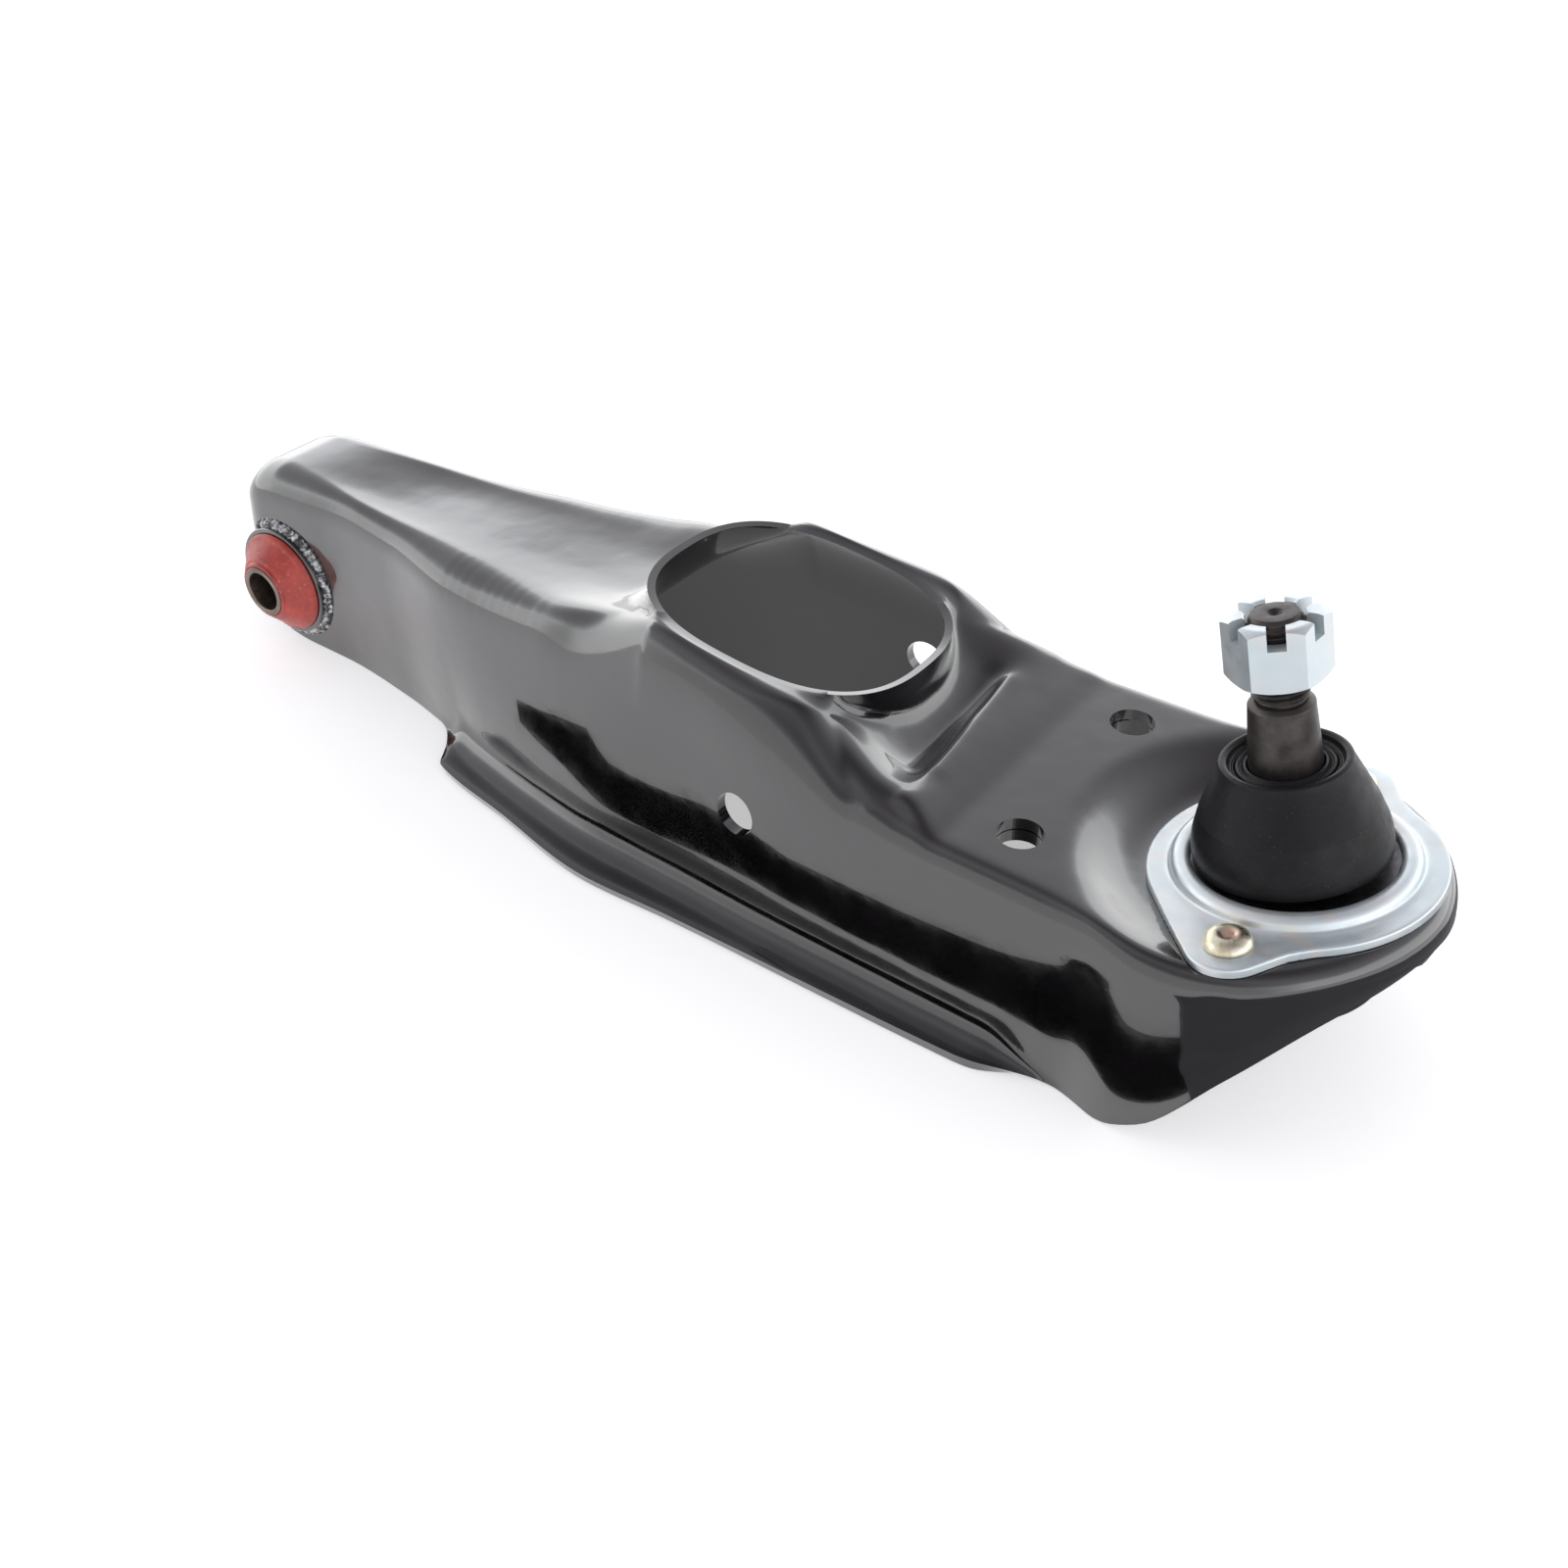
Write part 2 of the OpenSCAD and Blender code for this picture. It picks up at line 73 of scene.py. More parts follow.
# ---------------------------------------------------------------- places from the CAD
JOINTS = {j["name"]: j for j in frame["record"]["behaviour"]["joints"]}
BALL = np.array(JOINTS["stud_tilt_along"]["pos_m"]) / MM
STUD_AXIS = np.array(JOINTS["stud_spin"]["axis"])
STUD_LEAN = math.atan2(-STUD_AXIS[0], STUD_AXIS[2])
PLATE_LEAN = math.radians(10.6)
BALL_DEPTH = 8.0
PLATE = BALL + BALL_DEPTH * np.array([-math.sin(PLATE_LEAN), 0.0, math.cos(PLATE_LEAN)])


def size_of(node):
    """Low and high corner of a CAD node, in millimetres."""
    low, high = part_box(node)
    return np.array(low) / MM, np.array(high) / MM


SHELL_LOW, SHELL_HIGH = size_of("arm_shell")
TUBE_HALF = size_of("pivot_eye_tube")[1][1]
TUBE_R = size_of("pivot_eye_tube")[1][0]
SLEEVE_HALF = size_of("bush_sleeve")[1][1]
SLEEVE_R = size_of("bush_sleeve")[1][0]


# ---------------------------------------------------------------- mesh helpers
def frame_of(origin, lean):
    """Matrix, in millimetres, of a frame at origin whose Z leans towards -X."""
    return Matrix.Translation(Vector(origin)) @ Matrix.Rotation(-lean, 4, "Y")


ON_PLATE = frame_of(PLATE, PLATE_LEAN)
ON_STUD = frame_of(BALL, STUD_LEAN)
ALONG_Y = Matrix.Rotation(math.radians(-90), 4, "X")
ALONG_MINUS_Y = Matrix.Rotation(math.radians(90), 4, "X")


def mesh_object(name, verts, faces, matrix=None, sharp=35.0):
    """A smooth-shaded object from millimetre points, with edges sharper than `sharp` kept crisp."""
    mesh = bpy.data.meshes.new(name)
    mesh.from_pydata([tuple(v) for v in verts], [], [tuple(int(i) for i in f) for f in faces])
    scale = Matrix.Scale(MM, 4)
    mesh.transform(scale @ matrix if matrix is not None else scale)
    bm = bmesh.new()
    bm.from_mesh(mesh)
    bmesh.ops.remove_doubles(bm, verts=bm.verts, dist=1e-7)
    bmesh.ops.dissolve_degenerate(bm, edges=bm.edges, dist=1e-7)
    bmesh.ops.recalc_face_normals(bm, faces=bm.faces)
    bm.to_mesh(mesh)
    bm.free()
    shade(mesh, sharp)
    obj = bpy.data.objects.new(name, mesh)
    bpy.context.scene.collection.objects.link(obj)
    return obj


def shade(mesh, sharp):
    mesh.shade_smooth()
    mesh.set_sharp_from_angle(angle=math.radians(sharp))
    mesh.update()


def rounded(profile, radii, steps=4):
    """Profile with its corners rounded; radii gives one radius per point, 0 for a sharp one."""
    out = []
    n = len(profile)
    for i, (p, r) in enumerate(zip(profile, radii)):
        p = np.array(p, float)
        if r == 0:
            out.append(p)
            continue
        a = np.array(profile[(i - 1) % n], float) - p
        b = np.array(profile[(i + 1) % n], float) - p
        la, lb = np.linalg.norm(a), np.linalg.norm(b)
        cut = min(r, la * 0.48, lb * 0.48)
        start, end = p + a / la * cut, p + b / lb * cut
        for k in range(steps + 1):
            t = k / steps
            out.append((1 - t) ** 2 * start + 2 * t * (1 - t) * p + t * t * end)
    return out


def lathe(name, profile, matrix, sides=128, sharp=35.0):
    """Turned piece from a closed profile of (radius, height) points; axis points are shared.

    A radius is one number, or one for each side.
    """
    verts, faces, rings = [], [], []
    angles = np.arange(sides) * 2 * math.pi / sides
    for r, h in profile:
        if np.max(r) < 1e-6:
            rings.append([len(verts)] * sides)
            verts.append((0, 0, h))
        else:
            rings.append(list(range(len(verts), len(verts) + sides)))
            verts += [(side_r * math.cos(a), side_r * math.sin(a), h)
                      for side_r, a in zip(np.broadcast_to(r, sides), angles)]
    pairs = list(zip(rings, rings[1:]))
    if np.max(profile[0][0]) > 1e-6:
        pairs.append((rings[-1], rings[0]))
    for low, high in pairs:
        for k in range(sides):
            m = (k + 1) % sides
            face = list(dict.fromkeys([low[k], low[m], high[m], high[k]]))
            if len(face) > 2:
                faces.append(face)
    return mesh_object(name, verts, faces, matrix, sharp)


def solid_cutter(meshes):
    """One object holding several separate closed meshes, for a boolean."""
    bm = bmesh.new()
    for obj in meshes:
        bm.from_mesh(obj.data)
        bpy.data.objects.remove(obj)
    mesh = bpy.data.meshes.new("cutter")
    bm.to_mesh(mesh)
    bm.free()
    cutter = bpy.data.objects.new("cutter", mesh)
    bpy.context.scene.collection.objects.link(cutter)
    return cutter


def boolean(obj, cutter, operation="DIFFERENCE", sharp=35.0):
    modifier = obj.modifiers.new("cut", "BOOLEAN")
    modifier.operation = operation
    modifier.solver = "EXACT"
    modifier.object = cutter
    apply_modifiers(obj, sharp)
    bpy.data.objects.remove(cutter)


def apply_modifiers(obj, sharp=35.0):
    bpy.context.view_layer.update()
    done = bpy.data.meshes.new_from_object(obj.evaluated_get(bpy.context.evaluated_depsgraph_get()))
    obj.modifiers.clear()
    obj.data = done
    shade(done, sharp)


def cylinder(radius, low, high, matrix, sides=96):
    return lathe("cutter_part", [(0, low), (radius, low), (radius, high), (0, high)], matrix, sides)


def ease(t):
    t = np.clip(t, 0, 1)
    return t * t * (3 - 2 * t)


def mix(a, b, t):
    return a + (b - a) * t


def curve(pairs, x):
    """Smooth monotone curve through [position, value] pairs."""
    xs, ys = np.array(pairs, float).T
    rise = np.diff(ys) / np.diff(xs)
    slope = np.concatenate([[rise[0]], np.zeros(len(xs) - 2), [rise[-1]]])
    for i in range(1, len(xs) - 1):
        if rise[i - 1] * rise[i] > 0:
            slope[i] = 2 / (1 / rise[i - 1] + 1 / rise[i])
    x = np.asarray(x, float)
    i = np.clip(np.searchsorted(xs, x, side="right") - 1, 0, len(xs) - 2)
    h = xs[i + 1] - xs[i]
    t = np.clip((x - xs[i]) / h, 0, 1)
    return (ys[i] * (1 + 2 * t) * (1 - t) ** 2 + ys[i + 1] * t * t * (3 - 2 * t)
            + h * t * (1 - t) * (slope[i] * (1 - t) - slope[i + 1] * t))


# ---------------------------------------------------------------- the pressed arm
SHEET = 3.4
ARM_BOTTOM = SHELL_LOW[2]
NOSE_FRONT = SHELL_LOW[0]
NOSE_TOP = 39.0
NOSE_R = 18.0
NOSE_CENTRE = NOSE_FRONT + NOSE_R
NOSE_CORNER = 13.0
NOSE_HALF = 22.0
TIP_START = 345.0
TIP_LENGTH = SHELL_HIGH[0] - TIP_START
TIP_POWER = 1.8
FILLET = 8.0
OPENING_X = 206.5
OPENING_A = 43.5
OPENING_B = 35.5
OPENING_POWER = 2.55
RIM_Z = 53.3
RIM_FALL = 0.105
RIDGE_X = 265.0
TROUGH_X = 258.5
PAD_START = 282.0
PAD_Z = 33.0
RIDGE_SKEW = 0.147
STEP_OUTER = 57.0
STEP_INNER = 37.0
STRUT_X = 299.0
STRUT_HALF = 30.5
STRUT_R = 6.25
DAMPER_X = 221.0
DAMPER_Z = 15.0
DAMPER_R = 6.5
SEAT_BELOW = 2.7
PLATE_R = 36.75
PLATE_T = 2.6
EAR_R = 10.5
RIVET_HALF = 38.0
RIVET_PLACES = [ON_PLATE @ Matrix.Translation((0, y, 0)) for y in (-RIVET_HALF, RIVET_HALF)]
RIVET_HOLE_R = 4.1
SOCKET_HOLE_R = 23.5

# Shapes of the pressing's bends and edges
TIP_SHEET = 2.2
RIM_SHEET = 2.4
RIM_RISE = 0.2
WALL_BOW = 0.9
LIP_ROLL = 2.4
LIP_TURN = 32.0
TIP_ROLL = 5.5
FOOT_SIDE = 3.4
FOOT_INBOARD = 8.6
FOOT_OUTBOARD = 0.2
HUMP_START, HUMP_MIDDLE, HUMP_END = 92, 140, 182
STATIONS = 250
SHELL_SHARP = 32.0
# Press marks on the near outboard corner: place, reach and depth
DENTS = [(363.5, -49.7, 23.7, 4.5, 0.6), (365.5, -48.9, 15.6, 5.5, 0.5),
         (363.6, -50.1, 7.0, 4.5, 0.55), (371, -45.5, 20, 7, 0.4)]

# Curves along the arm, each a list of [x, value]
TIP_END = TIP_START + TIP_LENGTH
PANEL_HALF = [[NOSE_FRONT, 8], [0, 11], [40, 16.5], [80, 19.5], [100, 23], [130, 29.5], [165, 35.5],
              [205, 36.5], [240, 37.5], [RIDGE_X, 41], [PAD_START, 44], [315, 45],
              [TIP_START, 49], [TIP_END, 49]]
PANEL_MID = [[NOSE_FRONT, NOSE_TOP], [6, NOSE_TOP + 1], [48, 38], [90, 39.5], [130, 41], [163, 44],
             [185, 48.5], [222, 49.5], [238, 43], [250, 36.8], [TROUGH_X, 31.8],
             [TROUGH_X + 2, 32.3], [RIDGE_X, 37.2], [RIDGE_X + 5, 36.5], [PAD_START, PAD_Z]]
PANEL_EDGE = [[NOSE_FRONT, NOSE_TOP], [6, NOSE_TOP + 1], [48, 39.5], [100, 41], [130, 43.5],
              [165, 53], [185, 54.5], [222, 52.5], [236, 50.8], [244, 47.5], [252, 43],
              [RIDGE_X, 38.6], [RIDGE_X + 5, 37.4], [PAD_START, PAD_Z]]
FOLD_HALF = [[NOSE_FRONT, NOSE_HALF], [22, NOSE_HALF], [55, 25], [90, 33], [111, 36],
             [141, 40], [168, 43.5], [199, 46], [240, 50], [300, 50.5], [325, 51.5],
             [TIP_START, 54.5], [TIP_END, 54.5]]
FOLD_Z = [[NOSE_FRONT, 24], [0, 28], [55, 29], [111, 30], [165, 32], [205, 32], [240, 27],
          [280, 22], [TIP_START, 21], [380, 28], [400, 34]]
WALL_HALF = [[NOSE_FRONT, NOSE_HALF], [22, NOSE_HALF], [60, 26], [90, 33], [111, 39],
             [141, 45], [168, 48.5], [199, 49.5], [240, 51], [300, 51.5], [325, 51.5],
             [TIP_START, 55.5], [TIP_END, 55.5]]
EDGE_HALF = [[NOSE_FRONT, NOSE_HALF], [22, 22.5], [60, 27], [78, 31], [92, 41],
             [99, 49.5], [131, 56], [175, 63.4], [205, 62], [300, 60], [315, 57.5],
             [330, 54], [TIP_START, 56.5], [TIP_END, 56.5]]
EDGE_Z = [[NOSE_FRONT, -6], [-16, -17], [-4, -24], [6, ARM_BOTTOM], [338, ARM_BOTTOM],
          [352, -19.5], [369, 1.2], [385, 19.2], [400, 30.5]]
FLANGE_SHARE = [[NOSE_FRONT, 0], [70, 0], [99, 1], [305, 1], [332, 0], [400, 0]]


def seat_z(x):
    """Height of the leaning seat under the flange plate."""
    return (PLATE[2] - SEAT_BELOW / math.cos(PLATE_LEAN)
            + (x - PLATE[0]) * math.tan(PLATE_LEAN))


def panel_top(x, y):
    """Height of the top panel before the collar is raised."""
    near_ridge = ease((x - 255) / 9) * ease((PAD_START - x) / 14)
    shifted = x + RIDGE_SKEW * y * near_ridge
    half = curve(PANEL_HALF, x)
    share = np.minimum(1, np.abs(y) / half) ** 3
    inboard = mix(curve(PANEL_MID, shifted), curve(PANEL_EDGE, shifted), share)
    reach = np.hypot(x - PLATE[0], y)
    outboard = mix(PAD_Z, seat_z(x), ease((STEP_OUTER - reach) / (STEP_OUTER - STEP_INNER)))
    return np.where(x < PAD_START, inboard, outboard)


def rim_z(x):
    """Height of the collar's rim, which falls towards the ball joint."""
    return RIM_Z - RIM_FALL * (x - OPENING_X)


PANEL_STEPS = 22
SHOULDER_STEPS = 14
LOWER_STEPS = 44
HALF_STEPS = PANEL_STEPS + SHOULDER_STEPS + LOWER_STEPS


def resample(points, count):
    """count + 1 points spread evenly along a polyline."""
    points = np.asarray(points, float)
    run = np.concatenate([[0], np.cumsum(np.linalg.norm(np.diff(points, axis=0), axis=1))])
    at = np.linspace(0, run[-1], count + 1)
    return np.stack([np.interp(at, run, points[:, c]) for c in range(points.shape[1])], axis=1)


def half_section(x):
    """Outer surface of one half at a station, from the middle of the top to the lower edge."""
    front = min(NOSE_CORNER, max(0.0, NOSE_FRONT + NOSE_CORNER - x))
    trim = NOSE_CORNER - math.sqrt(NOSE_CORNER ** 2 - front ** 2)
    panel, fold, wall, edge = (float(curve(c, x)) - trim
                               for c in (PANEL_HALF, FOLD_HALF, WALL_HALF, EDGE_HALF))
    low = float(curve(EDGE_Z, x))
    share = float(curve(FLANGE_SHARE, x))
    y = panel * np.linspace(0, 1, PANEL_STEPS + 1)
    if x < NOSE_CENTRE:
        z = np.full(len(y), NOSE_TOP - NOSE_R
                    + math.sqrt(max(0.0, NOSE_R ** 2 - (NOSE_CENTRE - x) ** 2)))
    else:
        z = panel_top(np.full(len(y), x), y)
    bend = min(float(curve(FOLD_Z, x)), z[-1] - 3)
    a = math.pi / 2 * np.arange(1, SHOULDER_STEPS + 1) / SHOULDER_STEPS
    top = np.stack([y, z], axis=1)
    shoulder = np.stack([mix(panel, fold, np.sin(a)), mix(bend, z[-1], np.cos(a))], axis=1)

    foot = low + SHEET * share
    radius = FILLET * share * min(1.0, max(0.0, edge - wall) / FILLET)
    t = np.linspace(0, 1, 24)
    line = np.stack([mix(fold, wall, t) + WALL_BOW * np.sin(math.pi * t),
                     mix(bend, foot + radius, t)], axis=1)
    a = math.pi / 2 * np.arange(1, 13) / 12
    turn = np.stack([wall + radius * (1 - np.cos(a)), foot + radius * (1 - np.sin(a))], axis=1)
    lip = max(mix(wall, edge, share), wall + radius)
    roll = min(LIP_ROLL, 0.8 * (lip - wall - radius))
    a = math.radians(LIP_TURN) * np.arange(9) / 8
    rolled = np.stack([lip - roll + roll * np.sin(a) / math.sin(a[-1]),
                       foot - roll * (1 - np.cos(a)) / math.sin(a[-1])], axis=1)
    lower = resample(np.vstack([line, turn, rolled]), LOWER_STEPS)
    return np.vstack([top, shoulder, lower[1:]])


def mirrored(half, x):
    """Full row of points, from the near lower edge over the top to the far one."""
    x = np.broadcast_to(x, len(half))
    right = np.stack([x, half[:, 0], half[:, 1]], axis=1)
    left = right[:0:-1] * [1, -1, 1]
    return np.vstack([left, right])


def station_row(x):
    """Row across the arm at a station, with the skewed crest on its panel."""
    half = half_section(x)
    row = mirrored(half, x)
    if x >= NOSE_CENTRE:
        panel = slice(HALF_STEPS - PANEL_STEPS, HALF_STEPS + PANEL_STEPS + 1)
        row[panel, 2] = panel_top(row[panel, 0], row[panel, 1])
    return row


def tip_row(turn):
    """Row round the outboard end. The panel stops short of the wall, so the shoulder rolls over."""
    u = math.sin(turn)
    width = max(0.0, 1 - u ** TIP_POWER) ** (1 / TIP_POWER)
    half = half_section(TIP_START + TIP_LENGTH * u)
    roll = np.sin(math.pi / 2 * np.arange(SHOULDER_STEPS + 1) / SHOULDER_STEPS)
    reach = np.full(len(half), TIP_LENGTH)
    reach[:PANEL_STEPS] = TIP_LENGTH - TIP_ROLL
    reach[PANEL_STEPS:PANEL_STEPS + SHOULDER_STEPS + 1] = TIP_LENGTH - TIP_ROLL * (1 - roll)
    x = TIP_START + reach * u
    half[:, 0] *= width
    end = PANEL_STEPS + 1
    half[:end, 1] = panel_top(x[:end], half[:end, 0])
    bend = half[PANEL_STEPS + SHOULDER_STEPS, 1]
    crown = half[PANEL_STEPS, 1]
    fall = np.sqrt(1 - roll ** 2)
    half[PANEL_STEPS:PANEL_STEPS + SHOULDER_STEPS + 1, 1] = mix(bend, crown, fall)
    return mirrored(half, x)


def surface_z(x, y):
    """Height of the pressing over any place inside its shoulders."""
    half, fold = curve(PANEL_HALF, x), curve(FOLD_HALF, x)
    edge = np.sign(y) * np.minimum(np.abs(y), half)
    crown = panel_top(x, edge)
    bend = np.minimum(curve(FOLD_Z, x), crown - 3)
    roll = np.clip((np.abs(y) - half) / (fold - half), 0, 1)
    return mix(bend, crown, np.sqrt(1 - roll ** 2))


def opening_radius(x, y):
    """1 on the opening's outline, more outside it."""
    return (np.abs((x - OPENING_X) / OPENING_A) ** OPENING_POWER
            + np.abs(y / OPENING_B) ** OPENING_POWER) ** (1 / OPENING_POWER)


def opening_distance(x, y):
    """Distance from the opening's outline, in plan."""
    step = 0.05
    r = opening_radius(x, y)
    slope = np.hypot(opening_radius(x + step, y) - r, opening_radius(x, y + step) - r) / step
    return (r - 1) / slope


def opening_slope(x, y):
    """Direction away from the opening, rising a little, for the cut edge of the collar."""
    step = 0.05
    r = opening_radius(x, y)
    out = np.stack([opening_radius(x + step, y) - r, opening_radius(x, y + step) - r,
                    np.zeros(len(r))], axis=1)
    out /= np.linalg.norm(out, axis=1)[:, None]
    out[:, 2] = RIM_RISE
    return out


RAY_STEPS = 26
OUTSIDE_STEPS = 3


def collar_profile(height, total, inboard, outboard):
    """Distances and heights down the collar's side and fillet, and on to the border."""
    foot = min(FOOT_SIDE + FOOT_INBOARD * inboard ** 3 + FOOT_OUTBOARD * outboard, 0.72 * total)
    limit = foot * mix(3.0, 1.3, ease(outboard * 1.6))
    round_h = math.copysign(min(abs(height) * 0.97, limit), height)
    run = np.linspace(0, 1, 24)
    a = math.pi / 2 * (1 - run)
    # 1 where the collar stands up from the panel, 0 where the rim is level with it
    standing = ease((abs(height) - 2) / 4)
    wide = mix(foot, min(2.2 * foot, 0.8 * total), 1 - standing)
    profile = np.stack([mix(wide * run, foot * (1 - np.sin(a)), standing),
                        mix(height * (1 - ease(run)), round_h * (1 - np.cos(a)), standing)],
                       axis=1)
    profile = np.vstack([[[0, height]], profile]) if standing > 0 else profile
    profile = resample(profile, RAY_STEPS)
    tail = np.linspace(profile[-1, 0], total, OUTSIDE_STEPS + 1)[1:]
    return (np.concatenate([profile[:, 0], tail]),
            np.concatenate([profile[:, 1], np.zeros(len(tail))]))


def opening_rays(border):
    """Points from the rim of the collar, down its side and fillet, out to each border point."""
    rays = []
    for bx, by, bz in border:
        scale = 1 / float(opening_radius(bx, by))
        ex, ey = OPENING_X + (bx - OPENING_X) * scale, by * scale
        total = float(opening_distance(np.float64(bx), np.float64(by)))
        away = math.hypot(ex - OPENING_X, ey)
        inboard = max(0.0, (OPENING_X - ex) / away)
        outboard = max(0.0, (ex - OPENING_X) / away)
        height = float(rim_z(ex) - surface_z(np.float64(ex), np.float64(ey)))
        d, h = collar_profile(height, total, inboard, outboard)
        t = d / total
        x, y = mix(ex, bx, t), mix(ey, by, t)
        z = surface_z(x, y) + h
        z[-1] = bz
        rays.append(np.stack([x, y, z], axis=1))
    return np.array(rays)


def merged(verts, faces):
    """Points that coincide become one, and faces that lose their area go."""
    _, first, index = np.unique(np.round(verts, 4), axis=0, return_index=True, return_inverse=True)
    index = index.reshape(-1)
    out = []
    for f in faces:
        g = list(dict.fromkeys(index[i] for i in f))
        if len(g) > 2:
            out.append(g)
    used = np.unique([i for f in out for i in f])
    place = np.zeros(len(first), int)
    place[used] = np.arange(len(used))
    return verts[first][used], [[int(place[i]) for i in f] for f in out]


def edges_of(faces):
    return np.array([(a, b) for f in faces for a, b in zip(f, f[1:] + f[:1])])


def open_edges(faces):
    """Edges with one face, in that face's direction."""
    edges = edges_of(faces)
    seen = {tuple(e) for e in edges}
    return [(a, b) for a, b in edges if (b, a) not in seen]


def graph(faces):
    """Edges of a mesh, each once, and its faces as rows of four, a triangle's last point twice."""
    edges = np.unique(np.sort(edges_of(faces), axis=1), axis=0)
    return edges, np.array([f if len(f) == 4 else [*f, f[-1]] for f in faces])


def relax(values, edges, free, rounds):
    """Averages each free point with its neighbours, which gives creases a soft radius."""
    count = np.maximum(np.bincount(edges.ravel(), minlength=len(values)), 1)[:, None]
    for _ in range(rounds):
        total = np.zeros_like(values)
        for c in range(values.shape[1]):
            total[:, c] = (np.bincount(edges[:, 0], values[edges[:, 1], c], len(values))
                           + np.bincount(edges[:, 1], values[edges[:, 0], c], len(values)))
        values = np.where(free[:, None], mix(values, total / count, 0.5), values)
    return values


def area_vectors(verts, quads):
    """Each face's normal, as long as its area."""
    p = verts[quads]
    return np.cross(p[:, 2] - p[:, 0], p[:, 3] - p[:, 1]) / 2


def normals_of(verts, quads):
    out = np.zeros_like(verts)
    area = area_vectors(verts, quads)
    for c in range(4):
        np.add.at(out, quads[:, c], area)
    return out / np.linalg.norm(out, axis=1)[:, None]


def inner_face(verts, edges, quads, held, rim):
    """The sheet's inner face: one thickness in, untangled where a bend is tighter than that."""
    beside = opening_distance(verts[:, 0], verts[:, 1])
    normals = relax(normals_of(verts, quads), edges, np.ones(len(verts), bool), 5)
    normals[rim] = opening_slope(verts[rim, 0], verts[rim, 1])
    normals /= np.linalg.norm(normals, axis=1)[:, None]
    thin = mix(SHEET, TIP_SHEET, ease((verts[:, 0] - TIP_START - 30) / 22))
    thin = mix(thin, RIM_SHEET, ease((4 - beside) / 4) * (verts[:, 2] > 30))[:, None]
    inside = verts - thin * normals
    outer = area_vectors(verts, quads)
    size = (outer ** 2).sum(axis=1)
    for _ in range(80):
        share = (area_vectors(inside, quads) * outer).sum(axis=1) / size
        free = np.zeros(len(verts), bool)
        free[quads[share < 0.25]] = True
        if not free.any():
            break
        for _ in range(2):
            free[edges[free[edges].any(axis=1)]] = True
        inside = relax(inside, edges, free & ~held, 2)
    inside[:, 0] = np.minimum(inside[:, 0], TIP_END - 1.5)
    inside[:, 2] = np.maximum(inside[:, 2], ARM_BOTTOM)
    return inside


def plate_reach(angle, grow=0.0):
    """Distance from the middle of the flange plate to its edge, in the plate's own plane."""
    lean = np.radians(np.arange(-88, 89, 2))
    towards = angle[:, None] + lean
    ear = EAR_R + grow + RIVET_HALF * np.abs(np.sin(towards))

    def hull(radius):
        return np.min(np.maximum(radius + grow, ear) / np.cos(lean), axis=1)

    straight = hull(PLATE_R - 0.25)
    waisted = hull(31.0)
    sharp = np.maximum(PLATE_R + grow, waisted)
    bump = 0.8 * np.exp(-((waisted - PLATE_R - grow) / 1.3) ** 2)
    return mix(sharp + bump, straight, ease(0.5 - 4 * np.cos(angle)))


def plate_prism(name, grow, low, high, matrix):
    angle = np.arange(256) * 2 * math.pi / 256
    reach = plate_reach(angle, grow)
    ring = np.stack([reach * np.cos(angle), reach * np.sin(angle)], axis=1)
    n = len(ring)
    verts = [(x, y, z) for z in (low, high) for x, y in ring]
    faces = [[k, (k + 1) % n, n + (k + 1) % n, n + k] for k in range(n)]
    faces += [list(range(n))[::-1], list(range(n, 2 * n))]
    return mesh_object(name, verts, faces, matrix)


def soften(verts, edges, held):
    """Soft press radii: all over, more round the collar and most on the two humps inboard of it."""
    verts = relax(verts, edges, ~held, 5)
    beside = opening_distance(verts[:, 0], verts[:, 1])
    scoop = (verts[:, 0] > OPENING_X + 44) & (np.abs(verts[:, 1]) < 26)
    soft = (beside > 1.5) & (beside < 30) & (verts[:, 2] > 20) & ~scoop & ~held
    verts = relax(verts, edges, soft, 16)
    for start in range(HUMP_START, HUMP_MIDDLE, 4):
        hump = (verts[:, 0] > start) & (verts[:, 0] < HUMP_END)
        hump &= (verts[:, 2] > 24) & (beside > 2) & ~held
        hump &= np.abs(verts[:, 1]) > 8 + (start - HUMP_START) / 5
        verts = relax(verts, edges, hump, 6)
    return verts


def collar_faces(verts, border):
    """The collar, from the border up to the opening. Adds its points to verts."""
    rays = opening_rays(border)
    base, steps = len(verts), rays.shape[1]
    verts += list(rays.reshape(-1, 3))
    faces = []
    for k in range(len(rays)):
        m = (k + 1) % len(rays)
        for s in range(steps - 1):
            faces.append([base + k * steps + s, base + k * steps + s + 1,
                          base + m * steps + s + 1, base + m * steps + s])
    return faces


def nose_faces(verts, outline, at):
    """The flat front of the nose, inside its outline of one half. Adds its points to verts."""
    faces = []
    above = [at(0, k) for k in range(-PANEL_STEPS, PANEL_STEPS + 1)]
    for j in range(PANEL_STEPS + 1, HALF_STEPS + 1):
        y, z = outline[j]
        inner = np.linspace(-1, 1, 2 * PANEL_STEPS + 1)[1:-1]
        row = [at(0, -j)] + list(range(len(verts), len(verts) + len(inner))) + [at(0, j)]
        verts += [(NOSE_FRONT, y * t, z) for t in inner]
        faces += [[above[k], above[k + 1], row[k + 1], row[k]] for k in range(2 * PANEL_STEPS)]
        above = row
    return faces


